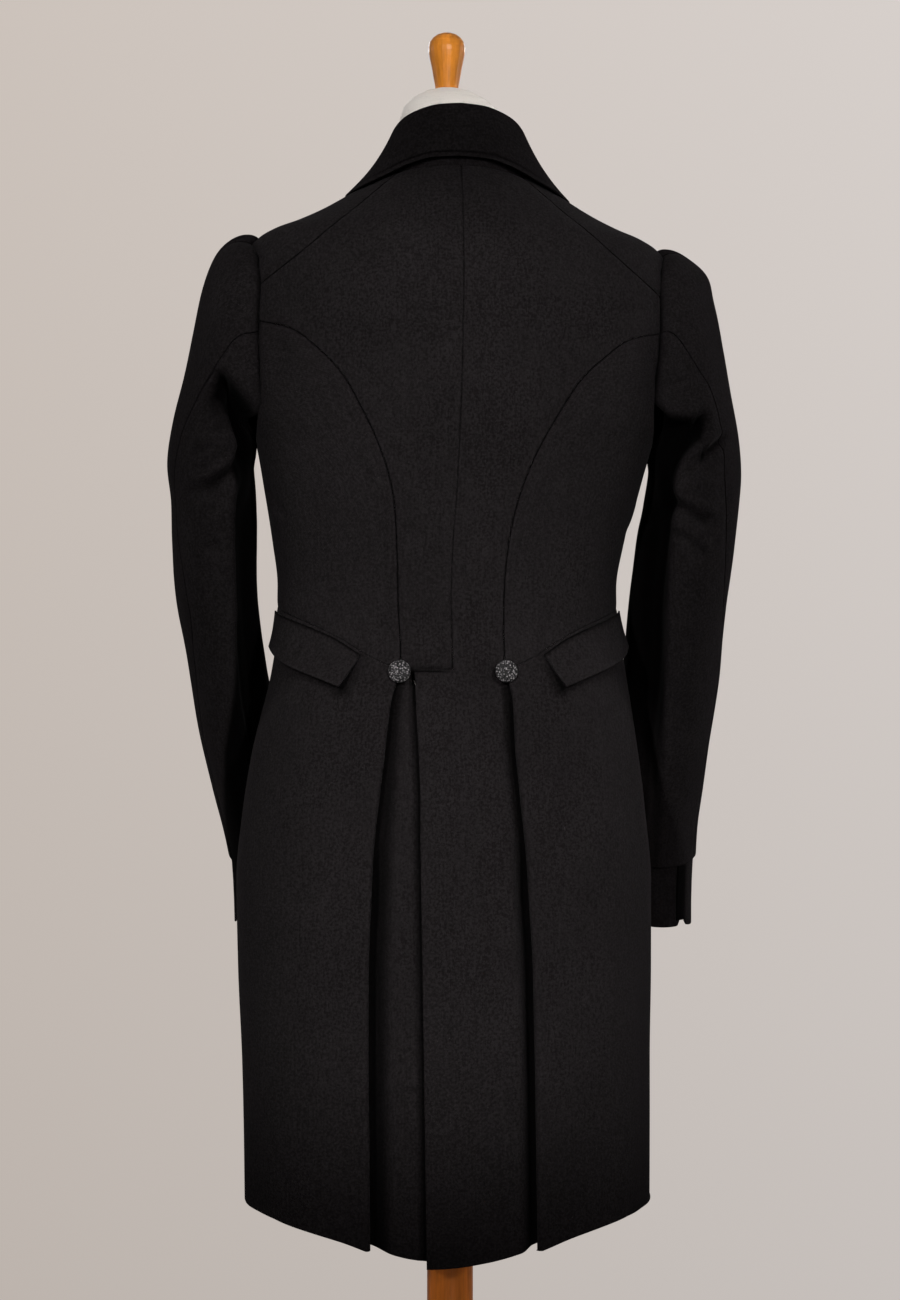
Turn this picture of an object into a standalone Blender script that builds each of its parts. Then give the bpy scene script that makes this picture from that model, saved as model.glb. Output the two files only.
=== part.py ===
"""Regency tailcoat on a turned dress form.

The coat is a worn, hollow garment of single cloth walls. It is drawn in millimetres in a straight,
symmetrical frame (x to the wearer's right, y forward, z up from the floor), then set on the form
with the small lean and turn that it has there, and made in metres.

Everything on the body lies on one surface, coat_point(angle, height): the angle is 0 at the centre
back, 90 at the side and 180 at the centre front. A cut piece is a patch of that surface between its
seams. A layer over or under another is made from the same points, moved along the surface's normal.
"""

import math

import bpy
import numpy as np

COLLECTION = "regency_tailcoat"
MM = 0.001

# Cloth
CLOTH = 1.8
COLLAR_CLOTH = 2.0
SEAM_PULL = 0.3
SLEEVE_PULL = 0.75
LAYER = 3.3
ARMHOLE_GAP = 1.4
UNDERARM_GAP = 2.3
COLLAR_CLEARANCE = 3.4
STAND_CLEARANCE = 0.6
ROLL_RADIUS = 2.7
STAND_HOLLOW = 1.5
FALL_CROWN = 2.0

# Heights of the coat
NAPE = 1488.0
ARMHOLE_TOP = 1423.0
ARMHOLE_FOOT = 1232.0
VENT_TOP = 1022.0

# Tails: the right one laps over the left below the vent's top, and both lie under the side skirts
PLEAT_DEPTH = 33.0
LEFT_LAP = 5.0
RIGHT_HEM = 481.0
LEFT_HEM = 485.5
PLEAT_HEM = 496.5
UNDERLAY_HEM = 509.0
TAIL_SINK = 6.6
SINK_START = 1036.0
SINK_FOOT = 985.0
SINK_FOOT_AT_PLEAT = 1014.0
SINK_ACROSS = (15.0, 44.0)
LAP_STEP = 3.2
TUCK_START = (1046.0, 1028.0)
TUCK_END = (1027.0, 985.0)
TUCK_ACROSS = (30.0, 44.0)
LAP_START = (1027.0, 990.0)
LAP_ACROSS = 30.0

# How the coat sits on the form
LEAN_DEGREES = 1.6
TURN_DEGREES = 2.5
LEAN_START = 1060.0
LEAN_FULL = 1300.0

# Buttons
BUTTON_RADIUS = 10.4
BUTTON_HEIGHT = 5.2
BUTTON_EDGE = 1.4
HIP_BUTTON = (48.6, 1020.0)
HIP_BUTTON_SEAT = 1.9
# The front buttons' heights, and how far their backs lie out from the middle of the cloth
FRONT_BUTTONS = [(1250.0, 0.85), (1180.0, 1.3), (1110.0, 1.9)]

# Dress form and stand
KNOB_TOP = 1625.0
NECK_TOP = 1571.0
FORM_FOOT = 850.0
POLE_RADIUS = 21.8
BASE_RADIUS = 205.0
BASE_HEIGHT = 30.0
BOSS_TOP = 58.0
STAND_GAP = 0.3
KNOB_COLOUR = (0.42, 0.2, 0.06)
STAND_COLOUR = (0.16, 0.045, 0.012)
KNOB_GAP = 0.6
KNOB_ACROSS = -3.0
FORM_STEPS = 32


class Table:
    """Rows of sizes under named columns, read smoothly along the first column."""

    def __init__(self, columns, rows):
        self.columns = columns.split()
        self.rows = np.array(rows, float)

    def column(self, name):
        return self.rows[:, self.columns.index(name)]

    def read(self, name, at):
        return smooth(self.rows[:, 0], self.column(name), at)


def smooth(knots, values, at):
    """Cubic curve through the rows that never swings past them."""
    at = np.clip(np.asarray(at, float), knots[0], knots[-1])
    step = np.diff(knots)
    slope = np.diff(values) / step
    tangent = np.concatenate(([slope[0]], np.zeros(len(slope) - 1), [slope[-1]]))
    same = slope[:-1] * slope[1:] > 0
    pair = slope[:-1] + slope[1:]
    safe = np.where(same, pair, 1.0)
    tangent[1:-1] = np.where(same, 2 * slope[:-1] * slope[1:] / safe, 0.0)
    i = np.clip(np.searchsorted(knots, at, side="right") - 1, 0, len(step) - 1)
    t = (at - knots[i]) / step[i]
    return (values[i] * (1 + 2 * t) * (1 - t) ** 2 + values[i + 1] * t * t * (3 - 2 * t)
            + step[i] * (tangent[i] * t * (1 - t) ** 2 + tangent[i + 1] * t * t * (t - 1)))


def ease(value, start, stop):
    """0 before start, 1 after stop, a soft step between; stop may lie below start."""
    t = np.clip((np.asarray(value, float) - start) / (stop - start), 0, 1)
    return t * t * (3 - 2 * t)


# Level sections of the coat, from the hem up. square is the outline's exponent, 2 for an ellipse.
BODY = Table("height half_width back front square", [
    (440, 190, 141, 120, 2.3),
    (536, 191, 141, 120, 2.3),
    (651, 192, 139, 120, 2.3),
    (745, 195, 137, 120, 2.3),
    (822, 196, 134, 120, 2.3),
    (888, 190, 129, 118, 2.3),
    (944, 182, 121, 116, 2.3),
    (1020, 167, 104, 110, 2.3),
    (1060, 161, 98, 108, 2.3),
    (1100, 159.5, 99, 109, 2.3),
    (1140, 165, 103, 115, 2.3),
    (1182, 174.5, 110, 122, 2.35),
    (1232, 186.3, 118, 130, 2.4),
    (1250, 193, 121, 132, 2.4),
    (1290, 201, 126, 131, 2.4),
    (1330, 205, 128, 124, 2.4),
    (1370, 206, 126, 113, 2.35),
    (1400, 203.5, 120, 101, 2.3),
    (1423, 196, 113.5, 90, 2.2),
    (1428, 176, 111, 87, 2.2),
    (1437, 149, 107, 80, 2.15),
    (1450, 125, 100.5, 71, 2.1),
    (1465, 104.5, 92, 61, 2.1),
    (1488, 70, 72, 48, 2.1),
    (1510, 50, 58, 44, 2.1),
])
BODY_AXIS_Y = -5.0

# The armhole's distance from the middle of the body
ARM_EDGE = Table("height across", [
    (1232, 186.3), (1283, 183.5), (1345, 186), (1380, 185), (1405, 188.5), (1423, 196)])
# Round the armhole: 0 at the top, 90 behind, 180 under the arm, 270 in front
SHOULDER_STATION = 62
HIND_STATION = 83
UNDERARM_STATION = 180
FORE_STATION = 259
ARM_STATIONS = [-101, -80, -60, -40, -20, 0, 20, 41, 62, 83, 102, 121, 141, 161, 180, 199, 219, 239, 259]

# Where the coat's middle lies, from the hem up
CENTRE = Table("height across", [
    (440, -2), (745, -5), (860, -6), (944, -5), (1022, -2), (1087, -3.5), (1140, -2), (1182, 1), (1250, 4),
    (1330, 6), (1400, 7), (1490, 7)])

# Seams on the back, given across and up as seen from behind
SHOULDER_SEAM = [(58, 1482), (84, 1457), (116, 1428), (147, 1401)]
CURVED_SEAM = [(161, 1333), (145, 1322), (127, 1308), (108, 1288), (95, 1267), (83, 1245), (71, 1221),
               (57, 1178), (51, 1134), (49, 1101), (47.6, 1044)]
CURVED_SEAM_FOOT = [(47.6, 1023), (47.8, 1021)]
WAIST_SEAM = [(47.8, 1021), (60, 1028), (82, 1037), (107, 1053.5), (129, 1064), (151, 1074)]

# The pleat's fold and the tails
PLEAT = Table("height across", [
    (470, 78), (633, 77.8), (750, 76.5), (812, 73.5), (850, 71.5), (904, 66), (945, 61.5),
    (995, 56), (1010, 52), (1021, 50)])
# How far the right tail's edge passes the middle
RIGHT_LAP = Table("height across", [(470, 25), (750, 26), (900, 27), (945, 29), (990, 33), (1021, 35.5)])

# Rows of the tails, and the heights between which the underlay goes in behind the pleat
TAIL_ROWS = [1014.5, 1004, 990, 965, 930, 880, 820, 740, 650, 560, 499]
UNDERLAY_START = (1021, 1003)
SKIRT_ROWS = [1021, 1010, 990, 960, 920, 870, 810, 740, 660, 575, PLEAT_HEM]
# How the skirt's cloth goes round the pleat's fold and under: in from the fold, and depth
PLEAT_BEND = [(2.2, -0.05), (0.9, -0.35), (0.0, -1.65), (0.9, -2.95)]
PLEAT_UNDER = [(3.5, -LAYER), (PLEAT_DEPTH / 2, -LAYER), (PLEAT_DEPTH - 1, -LAYER)]

# The neck seam on the body, by angle
NECK_SEAM = Table("angle height", [
    (0, 1488), (30, 1485), (47, 1482), (90, 1478.5), (118, 1466), (137, 1448)])

# Half of the collar from the centre back round to its front end.
COLLAR = Table("angle neck_lift fold_x fold_y fold_z edge_x edge_y edge_z", [
    (0, 1.0, 0, -71, 1545.5, 0, -88, 1495),
    (30, 1.0, 33, -63, 1539.5, 46, -81, 1488),
    (60, 1.2, 52, -41, 1531, 86, -57, 1471),
    (90, 1.6, 59, -6, 1514, 106, -8, 1467),
    (115, 1.8, 61, 25, 1494, 108, 36, 1456),
    (137, 1.6, 62, 63, 1458, 99, 68, 1432),
])

# Each row is one ring of the sleeve, from the armhole to the wrist. hind is where the hind-arm seam
# crosses it, tilt how far its hind point hangs lower.
SLEEVE = Table("ring inner_x inner_z outer_x outer_z depth y_mid tilt hind own", [
    (0, 186.3, 1232, 196, 1423, 132, -4, 0, 83, 1.0),
    (1, 188.9, 1225, 205, 1425.5, 136, -4, 0, 80, 0.85),
    (2, 189.2, 1218, 219, 1421.5, 140, -3, 0, 76, 0.6),
    (3, 188.9, 1210, 233, 1405, 143, -2, 0, 71, 0.35),
    (4, 188.2, 1202, 245, 1374, 145, -1, 0, 66, 0.15),
    (5, 187.2, 1193, 253.5, 1332, 145, 0, 0, 60, 0),
    (6, 186, 1183, 261.5, 1290, 144, 1, 0, 54, 0),
    (7, 184.5, 1171, 269.5, 1250, 142, 2, 0, 48, 0),
    (8, 182.5, 1157, 274, 1212, 140, 3, 0, 44, 0),
    (9, 181, 1140, 274, 1178, 138, 4, 1, 41, 0),
    (10, 179, 1117, 273.5, 1144, 137, 7, 3, 38, 0),
    (11, 176.5, 1093, 271, 1112, 136, 12, 5, 36, 0),
    (12, 174.5, 1067, 267.5, 1080, 134, 20, 9, 35, 0),
    (13, 173, 1040, 264.5, 1048, 131, 30, 13, 34, 0),
    (14, 172, 1012, 263, 1014, 128, 42, 16, 34, 0),
    (15, 171.5, 980, 261, 980, 124, 55, 18, 33, 0),
    (16, 172, 945, 258.5, 945, 119, 69, 19, 33, 0),
    (17, 173, 910, 256.5, 910, 114, 82, 18, 33, 0),
    (18, 174, 875, 254, 873, 110, 93, 17, 33, 0),
    (19, 175, 838, 253, 836, 106, 102, 16, 33, 0),
])
CUFF = Table("ring inner_x inner_z outer_x outer_z depth y_mid tilt hind own", [
    (0, 178.1, 853, 250.4, 851, 100, 98.5, 16.3, 33, 0),
    (1, 178.6, 834, 249.4, 832, 99, 103, 16, 33, 0),
    (2, 178.8, 815, 248.8, 813, 99, 107, 15, 33, 0),
    (3, 179, 795, 248.5, 793, 98.5, 110.5, 14, 33, 0),
    (4, 179.5, 776, 248.5, 774, 98, 113, 13, 33, 0),
])
CUFF_SLIT = 9.6
# The left arm hangs closer to the body: how far each side of the sleeve comes in
LEFT_ARM = Table("height inner outer", [
    (770, 31, 47), (835, 29, 46), (873, 24, 40), (913, 19, 34), (972, 9, 24), (1030, -2, 17), (1087, -3, 13),
    (1144, -1, 12), (1190, 0, 8), (1220, 0, 4), (1300, 0, 5), (1373, 0, 3), (1420, 0, 0)])
# The largest folds of the cloth at the armpit: around is the ring angle, along the ring number
FOLDS = Table("around along width length depth", [
    (84, 6.6, 26, 0.75, 7.0),
    (118, 5.2, 30, 0.9, 6.0),
    (70, 9.2, 30, 0.8, 3.0),
])

FRONT_EDGE = [(137, 1448), (150, 1395), (165, 1330), (180, 1268)]
FRONT_END = 188.5
EDGE_TOP = 1246.0
OVERLAP_START = (158, 170)
FRONT_WAIST = 1070.0
SIDE_SEAM_ANGLE = 96.0
SIDE_WAIST = 1083.0
CUT_IN = (128.0, 1077.0)
SKIRT_FRONT = [(128, 1077), (116, 1052), (101, 1026), (94, 1000), (92.5, 940), (92, 860), (92.5, 760),
               (93, 640), (93.5, 525)]
# The skirt's hem from the pleat to the side, across and up, then by angle and height
SKIRT_HEM = [(105, 504.5), (135, 513), (160, 519)]
SKIRT_HEM_SIDE = (90, 524)
HEM_SLOPE = 0.34
UNDER_DROP = 6.0
LAPEL_EDGE = [(121, 1409), (132, 1372), (150, 1322), (174, 1276)]
LAPEL_ROLL = 0.5
# The flap's two long edges, given across and up, with their ends at the side by angle and height
FLAP_TOP = [(83.5, 1035.3), (107, 1051), (129, 1061.5), (151, 1071)]
FLAP_TOP_END = (86, 1077)
FLAP_FOOT = [(101, 1004), (126, 1015), (152, 1028)]
FLAP_FOOT_END = (83, 1042)
FLAP_SEAT = 2.7
FLAP_STAND_OFF = 5.6

FORM_DEPTH = Table("height inside", [
    (850, 62), (852, 46), (858, 30), (872, 18.5), (900, 14), (1000, 12.5), (1040, 11), (1080, 9), (1300, 8),
    (1360, 8.5), (1400, 11), (1425, 11), (1440, 6), (1452, 2.8), (1465, 1.8), (1472, 1.8)])
FORM_RINGS = [850, 852, 858, 872, 900, 945, 990, 1040, 1080, 1130, 1190, 1250, 1300, 1345, 1380, 1404, 1422,
              1430, 1440, 1452, 1465, 1472]
FORM_HIP_DEPTH = 14.0
# The neck stands straighter than the coat on it: how far each ring lies to the left of the coat's middle
FORM_NECK = Table("height half_width back front to_left", [
    (1479, 76, 75, 50, 0),
    (1490, 60, 62, 48, 0),
    (1505, 53.5, 55, 47, 0.5),
    (1525, 51.5, 52, 47, 2.5),
    (1540, 50, 50.5, 46, 5),
    (1552, 44.5, 44.5, 41, 7),
    (1561, 35, 35, 33, 8),
    (1568, 22, 22, 22, 8.4),
    (1571, 12.5, 12.5, 12.5, 8.4),
])
NECK_SQUARE = 2.1
ARM_PLATE = 176.0

# Outlines of the turned pieces, radius and height
KNOB = [(0, KNOB_TOP), (5, 1624.6), (9.5, 1623), (13.2, 1620.2), (16, 1616.4), (17.3, 1611), (17.2, 1606.5),
        (16.4, 1601.5), (14.4, 1592.5), (12.7, 1582.5), (11.3, 1575), (10.9, NECK_TOP + KNOB_GAP),
        (0, NECK_TOP + KNOB_GAP)]
STAND_BASE = [(0, BOSS_TOP), (30, BOSS_TOP), (34, BOSS_TOP - 4), (36, 44), (48, 36), (70, 33),
              (188, BASE_HEIGHT), (198, 26), (BASE_RADIUS, 16), (BASE_RADIUS, 5), (BASE_RADIUS - 5, 0), (0, 0)]


def polar(angle, half_width, back, front, square):
    """Distance from the axis to a rounded outline in the direction of the angle."""
    sine = np.sin(np.radians(angle))
    cosine = np.cos(np.radians(angle))
    depth = np.where(cosine > 0, back, front)
    return (np.abs(sine / half_width) ** square + np.abs(cosine / depth) ** square) ** (-1 / square)


def around_axis(angle, height, radius):
    """Point at a distance from the body's axis."""
    angle = np.radians(angle)
    return np.stack(np.broadcast_arrays(
        radius * np.sin(angle), BODY_AXIS_Y - radius * np.cos(angle), height), axis=-1)


def body_surface(angle, height):
    """The coat's middle surface."""
    sizes = [BODY.read(name, height) for name in ("half_width", "back", "front", "square")]
    return around_axis(angle, height, polar(angle, *sizes))


def coat_point(angle, height, out=0.0):
    """Point of the coat's middle surface, moved outwards along the normal by out."""
    angle = np.asarray(angle, float)
    height = np.asarray(height, float)
    turn = body_surface(angle + 0.5, height) - body_surface(angle - 0.5, height)
    rise = body_surface(angle, height + 1.5) - body_surface(angle, height - 1.5)
    normal = np.cross(turn, rise)
    normal /= np.linalg.norm(normal, axis=-1, keepdims=True)
    return body_surface(angle, height) + normal * np.asarray(out, float)[..., None]


def rear_angle(across, height):
    """Angle of the back's point at a distance from the middle and a height."""
    half = BODY.read("half_width", height)
    square = BODY.read("square", height)
    inside = np.clip(1 - np.abs(across / half) ** square, 0, 1) ** (1 / square)
    return np.degrees(np.arctan2(across, BODY.read("back", height) * inside))


def armhole(station):
    """Angle and height of the armhole at a station round it."""
    station = np.asarray(station, float)
    middle = (ARMHOLE_TOP + ARMHOLE_FOOT) / 2
    height = middle + (ARMHOLE_TOP - ARMHOLE_FOOT) / 2 * np.cos(np.radians(station))
    across = ARM_EDGE.read("across", height)
    square = BODY.read("square", height)
    ratio = np.clip(across / BODY.read("half_width", height), 0, 1)
    inside = np.clip(1 - ratio ** square, 0, 1) ** (1 / square)
    behind = np.sin(np.radians(station)) > 0
    depth = np.where(behind, BODY.read("back", height), -BODY.read("front", height))
    return np.stack((np.degrees(np.arctan2(across, depth * inside)), height), axis=-1)


def worn(points, side=1):
    """Mirror to the side, then lean, shift and turn as the coat sits on the form."""
    x, y, z = np.moveaxis(np.asarray(points, float), -1, 0)
    x = x * side
    lean = math.tan(math.radians(LEAN_DEGREES)) * ease(z, LEAN_START, LEAN_FULL)
    turn = math.radians(TURN_DEGREES)
    x_turned = x * math.cos(turn) - y * math.sin(turn)
    y_turned = x * math.sin(turn) + y * math.cos(turn)
    return np.stack((x_turned + CENTRE.read("across", z), y_turned, z - lean * x), axis=-1)


def through(points, count):
    """Count points at equal steps along the smooth curve through the given ones."""
    points = np.array(points, float)
    reach = np.concatenate(([0.0], np.cumsum(np.linalg.norm(np.diff(points, axis=0), axis=1))))
    fine = np.linspace(0, reach[-1], 400)
    curve = np.stack([smooth(reach, points[:, k], fine) for k in range(points.shape[1])], axis=-1)
    length = np.concatenate(([0.0], np.cumsum(np.linalg.norm(np.diff(curve, axis=0), axis=1))))
    even = np.linspace(0, length[-1], count)
    return np.stack([np.interp(even, length, curve[:, k]) for k in range(points.shape[1])], axis=-1)


def on_back(across_and_up):
    """Angles and heights of points given across and up on the back."""
    across, height = np.moveaxis(np.asarray(across_and_up, float), -1, 0)
    return np.stack((rear_angle(across, height), height), axis=-1)


def arm_side(point):
    """Across and up of an armhole point given by angle and height."""
    height = point[0, 1]
    return ARM_EDGE.read("across", height), height


def coons(top, bottom, left, right):
    """Grid that meets four edges; the edges share their corners."""
    down = np.linspace(0, 1, len(left))[:, None, None]
    over = np.linspace(0, 1, len(top))[None, :, None]
    across = (1 - over) * left[:, None] + over * right[:, None]
    along = (1 - down) * top[None] + down * bottom[None]
    corners = ((1 - down) * ((1 - over) * top[0] + over * top[-1])
               + down * ((1 - over) * bottom[0] + over * bottom[-1]))
    return across + along - corners


def pull_in(grid, sides="top bottom left right", amount=SEAM_PULL):
    """Move the grid's outer rows and columns in by the seam's half gap."""
    grid = np.array(grid, float)
    ends = {"top": (np.s_[0], np.s_[1]), "bottom": (np.s_[-1], np.s_[-2]),
            "left": (np.s_[:, 0], np.s_[:, 1]), "right": (np.s_[:, -1], np.s_[:, -2])}
    for side in sides.split():
        edge, inner = ends[side]
        step = grid[inner] - grid[edge]
        grid[edge] = grid[edge] + amount * step / np.linalg.norm(step, axis=-1, keepdims=True)
    return grid


def material(name, colour, roughness, metallic=0.0):
    """Principled material with one colour."""
    made = bpy.data.materials.new(name)
    made.use_nodes = True
    shader = made.node_tree.nodes["Principled BSDF"]
    shader.inputs["Base Color"].default_value = (*colour, 1.0)
    shader.inputs["Roughness"].default_value = roughness
    shader.inputs["Metallic"].default_value = metallic
    return made


def finish(obj, kind, colour, roughness):
    """Give the piece its material, smooth shading and its place in the collection."""
    obj.data.materials.clear()
    obj.data.materials.append(material(f"{obj.name}_{kind}", colour, roughness))
    for holder in list(obj.users_collection):
        holder.objects.unlink(obj)
    bpy.data.collections[COLLECTION].objects.link(obj)
    return obj


def as_wool(obj):
    obj.data.shade_smooth()
    return finish(obj, "wool", (0.018, 0.015, 0.017), 0.9)


def as_wood(obj, colour):
    obj.data.shade_smooth()
    obj.data.set_sharp_from_angle(angle=math.radians(40))
    return finish(obj, "wood", colour, 0.35)


def mesh_object(name, points, faces):
    """Object in metres from points in millimetres."""
    mesh = bpy.data.meshes.new(name)
    mesh.from_pydata((np.asarray(points).reshape(-1, 3) * MM).tolist(), [], faces)
    obj = bpy.data.objects.new(name, mesh)
    bpy.context.scene.collection.objects.link(obj)
    return obj


def grid_faces(rows, columns, closed=False):
    """Quads of a grid, joined round its columns where it is closed."""
    wide = columns if closed else columns - 1
    return [(r * columns + c, r * columns + (c + 1) % columns,
             (r + 1) * columns + (c + 1) % columns, (r + 1) * columns + c)
            for r in range(rows - 1) for c in range(wide)]


def cloth(name, grid, thickness=CLOTH):
    """Cloth wall with the grid in its middle."""
    rows, columns = grid.shape[:2]
    obj = mesh_object(name, grid, grid_faces(rows, columns))
    wall = obj.modifiers.new("cloth", "SOLIDIFY")
    wall.thickness = thickness * MM
    wall.offset = 0.0
    wall.use_even_offset = True
    return as_wool(obj)


def both_sides():
    return (("left", -1), ("right", 1))


# Edges that two pieces share, worked out once so that their points match
SHOULDER_END = armhole([SHOULDER_STATION])
HIND_POINT = armhole([HIND_STATION])
SHOULDER_EDGE = np.concatenate((
    on_back(through([*SHOULDER_SEAM, arm_side(SHOULDER_END)], 10)[:-1]), SHOULDER_END))
CURVED_EDGE = np.concatenate((
    HIND_POINT, on_back(through([arm_side(HIND_POINT), *CURVED_SEAM], 12)[1:]), on_back(CURVED_SEAM_FOOT)))
SIDE_SEAM = through(
    [armhole(UNDERARM_STATION), (94, 1190), (95.5, 1130), (SIDE_SEAM_ANGLE, SIDE_WAIST)], len(CURVED_EDGE))
WAIST_EDGE = through([*on_back(WAIST_SEAM), (90, 1081.5), (SIDE_SEAM_ANGLE, SIDE_WAIST)], 6)
CUT_EDGE = through([(SIDE_SEAM_ANGLE, SIDE_WAIST), (112, 1082), CUT_IN], 4)


def tail_sink(across, height, side):
    """How far the centre tails lie below the skirts, with the right one lapped over the left."""
    foot = SINK_FOOT + (SINK_FOOT_AT_PLEAT - SINK_FOOT) * ease(across, *SINK_ACROSS)
    sink = -TAIL_SINK * ease(height, SINK_START, foot)
    if side > 0:
        return sink + LAP_STEP * (1 - ease(across, 0, LAP_ACROSS)) * ease(height, *LAP_START)
    tuck = ease(height, *TUCK_START) * (1 - ease(height, *TUCK_END))
    return sink - LAP_STEP * tuck * (1 - ease(across, *TUCK_ACROSS))


def back_piece(name, side):
    """Back with its centre tail. Its outer edge runs down the shoulder seam, the armhole, the
    curved seam and the inside of the pleat."""
    tail = np.array(TAIL_ROWS)
    underlay = PLEAT.read("across", tail) + PLEAT_DEPTH * ease(tail, *UNDERLAY_START)
    tail[-1] = UNDERLAY_HEM
    right = np.concatenate((SHOULDER_EDGE, CURVED_EDGE, on_back(np.stack((underlay, tail), axis=-1))))
    across = coat_point(right[:, 0], right[:, 1])[:, 0]
    heights = right[:, 1].copy()
    heights[0] = NAPE
    heights[-1] = hem = RIGHT_HEM if side > 0 else LEFT_HEM
    lap = RIGHT_LAP.read("across", heights) if side > 0 else LEFT_LAP
    inner = np.where(heights > VENT_TOP, 0.0, -lap)
    over = np.linspace(0, 1, 6)
    neck = np.stack((over * across[0], NAPE - (NAPE - right[0, 1]) * over ** 2), axis=-1)
    foot = np.stack((inner[-1] + over * (across[-1] - inner[-1]), hem + (UNDERLAY_HEM - hem) * over ** 1.8),
                    axis=-1)
    grid = coons(neck, foot, np.stack((inner, heights), axis=-1), np.stack((across, right[:, 1]), axis=-1))
    flat, height = grid[..., 0], grid[..., 1]
    angle = rear_angle(np.abs(flat), height) * np.sign(flat)
    points = coat_point(angle, height, tail_sink(flat, height, side))
    return cloth(name, worn(pull_in(points), side))


def side_body(name, side):
    """Between the curved back seam, the armhole, the underarm seam and the waist."""
    top = armhole([s for s in ARM_STATIONS if HIND_STATION <= s <= UNDERARM_STATION])
    grid = coons(top, WAIST_EDGE, CURVED_EDGE, SIDE_SEAM)
    return cloth(name, worn(pull_in(coat_point(grid[..., 0], grid[..., 1])), side))


def front_sink(angle, side):
    """The right front goes under the left one where they overlap."""
    return -LAYER * ease(angle, *OVERLAP_START) * (side > 0)


def front_piece(name, side):
    """From the slanted shoulder seam over the shoulder to the waist, with the neck and front edge
    on one side and the armhole and underarm seam on the other."""
    over_top = [s for s in ARM_STATIONS if s <= SHOULDER_STATION][::-1]
    under = [s - 360 for s in ARM_STATIONS if UNDERARM_STATION <= s < FORE_STATION][::-1]
    right = np.concatenate((armhole(over_top + under), SIDE_SEAM[1:]))
    neck = [SHOULDER_EDGE[0], *[(angle, NECK_SEAM.read("height", angle)) for angle in (70, 90, 105, 120)]]
    edge = [(FRONT_END, EDGE_TOP), (FRONT_END, 1180), (FRONT_END, FRONT_WAIST)]
    neck_rows = 9
    roll_rows = 9
    edge_rows = len(right) - neck_rows - roll_rows
    left = np.concatenate((
        through(neck + [FRONT_EDGE[0]], neck_rows + 1)[:-1],
        through(FRONT_EDGE + [edge[0]], roll_rows + 1)[:-1],
        through(edge, edge_rows)))
    front_waist = through([(FRONT_END, FRONT_WAIST), (155, 1072), CUT_IN], 7)
    bottom = np.concatenate((front_waist, CUT_EDGE[::-1][1:]))
    grid = coons(SHOULDER_EDGE, bottom, left, right)
    points = coat_point(grid[..., 0], grid[..., 1], front_sink(grid[..., 0], side))
    return cloth(name, worn(pull_in(points), side))


def lapel(name, side):
    """Turned back along the roll line, over the front."""
    rows = 12
    roll = through(FRONT_EDGE, rows)[:-1]
    edge = through(LAPEL_EDGE, rows)[:-1]
    over = np.linspace(0.12, 1, 6)[None, :, None]
    grid = (1 - over) * roll[:, None] + over * edge[:, None]
    flat = coat_point(grid[..., 0], grid[..., 1], LAYER + 0.2 + front_sink(grid[..., 0], side))
    sunk = front_sink(roll[:, 0], side)
    bend = [coat_point(roll[:, 0] + LAPEL_ROLL + beyond, roll[:, 1], sunk + out)[:, None]
            for beyond, out in ((0, 0), (1.0, 1.7), (-0.15, LAYER + 0.4))]
    return cloth(name, worn(pull_in(np.concatenate((*bend, flat), axis=1)), side))


def collar_section(angle):
    """Stand, roll and fall of the collar at one angle round the neck."""
    fold = np.array([COLLAR.read(f"fold_{axis}", angle) for axis in "xyz"])
    edge = np.array([COLLAR.read(f"edge_{axis}", angle) for axis in "xyz"])
    neck = coat_point(angle, NECK_SEAM.read("height", angle))
    middle = (neck + edge) / 2
    up = (fold - middle) / np.linalg.norm(fold - middle)
    outward = (edge - neck) - up * np.dot(edge - neck, up)
    outward /= np.linalg.norm(outward)
    heart = fold - up * ROLL_RADIUS
    foot = neck + up * (CLOTH / 2 + COLLAR.read("neck_lift", angle))
    stand_top = heart - outward * ROLL_RADIUS
    fall_top = heart + outward * ROLL_RADIUS
    points = [foot + (stand_top - foot) * t - outward * STAND_HOLLOW * math.sin(math.pi * t)
              for t in (0, 0.33, 0.67)]
    for sweep in np.radians([180, 135, 90, 45, 0]):
        points.append(heart + (outward * math.cos(sweep) + up * math.sin(sweep)) * ROLL_RADIUS)
    points += [fall_top + (edge - fall_top) * t + outward * FALL_CROWN * math.sin(math.pi * t)
               for t in (0.25, 0.5, 0.75, 1)]
    return points


def clear_of_coat(points, clearance):
    """Points moved out, where they lie closer to the coat's surface than the clearance."""
    def beyond(places):
        x, y, z = np.moveaxis(places, -1, 0)
        angle = np.degrees(np.arctan2(x, BODY_AXIS_Y - y))
        sizes = [BODY.read(name, z) for name in ("half_width", "back", "front", "square")]
        return np.hypot(x, y - BODY_AXIS_Y) - polar(angle, *sizes)

    points = np.array(points, float)
    for _ in range(4):
        slope = np.stack([beyond(points + step) - beyond(points - step) for step in np.eye(3)], axis=-1) / 2
        steep = np.linalg.norm(slope, axis=-1)
        short = np.maximum(clearance - beyond(points) / steep, 0)
        points += slope / steep[..., None] * short[..., None]
    return points


def collar():
    """One folded sheet from front end to front end."""
    angles = np.linspace(0, COLLAR.rows[-1, 0], 12)
    half = np.array([collar_section(angle) for angle in angles])
    half[:, 1:5] = clear_of_coat(half[:, 1:5], STAND_CLEARANCE)
    half[:, 5:] = clear_of_coat(half[:, 5:], COLLAR_CLEARANCE)
    other = half[:0:-1] * np.array([-1.0, 1.0, 1.0])
    return cloth("collar", worn(np.concatenate((other, half))), COLLAR_CLOTH)


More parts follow.
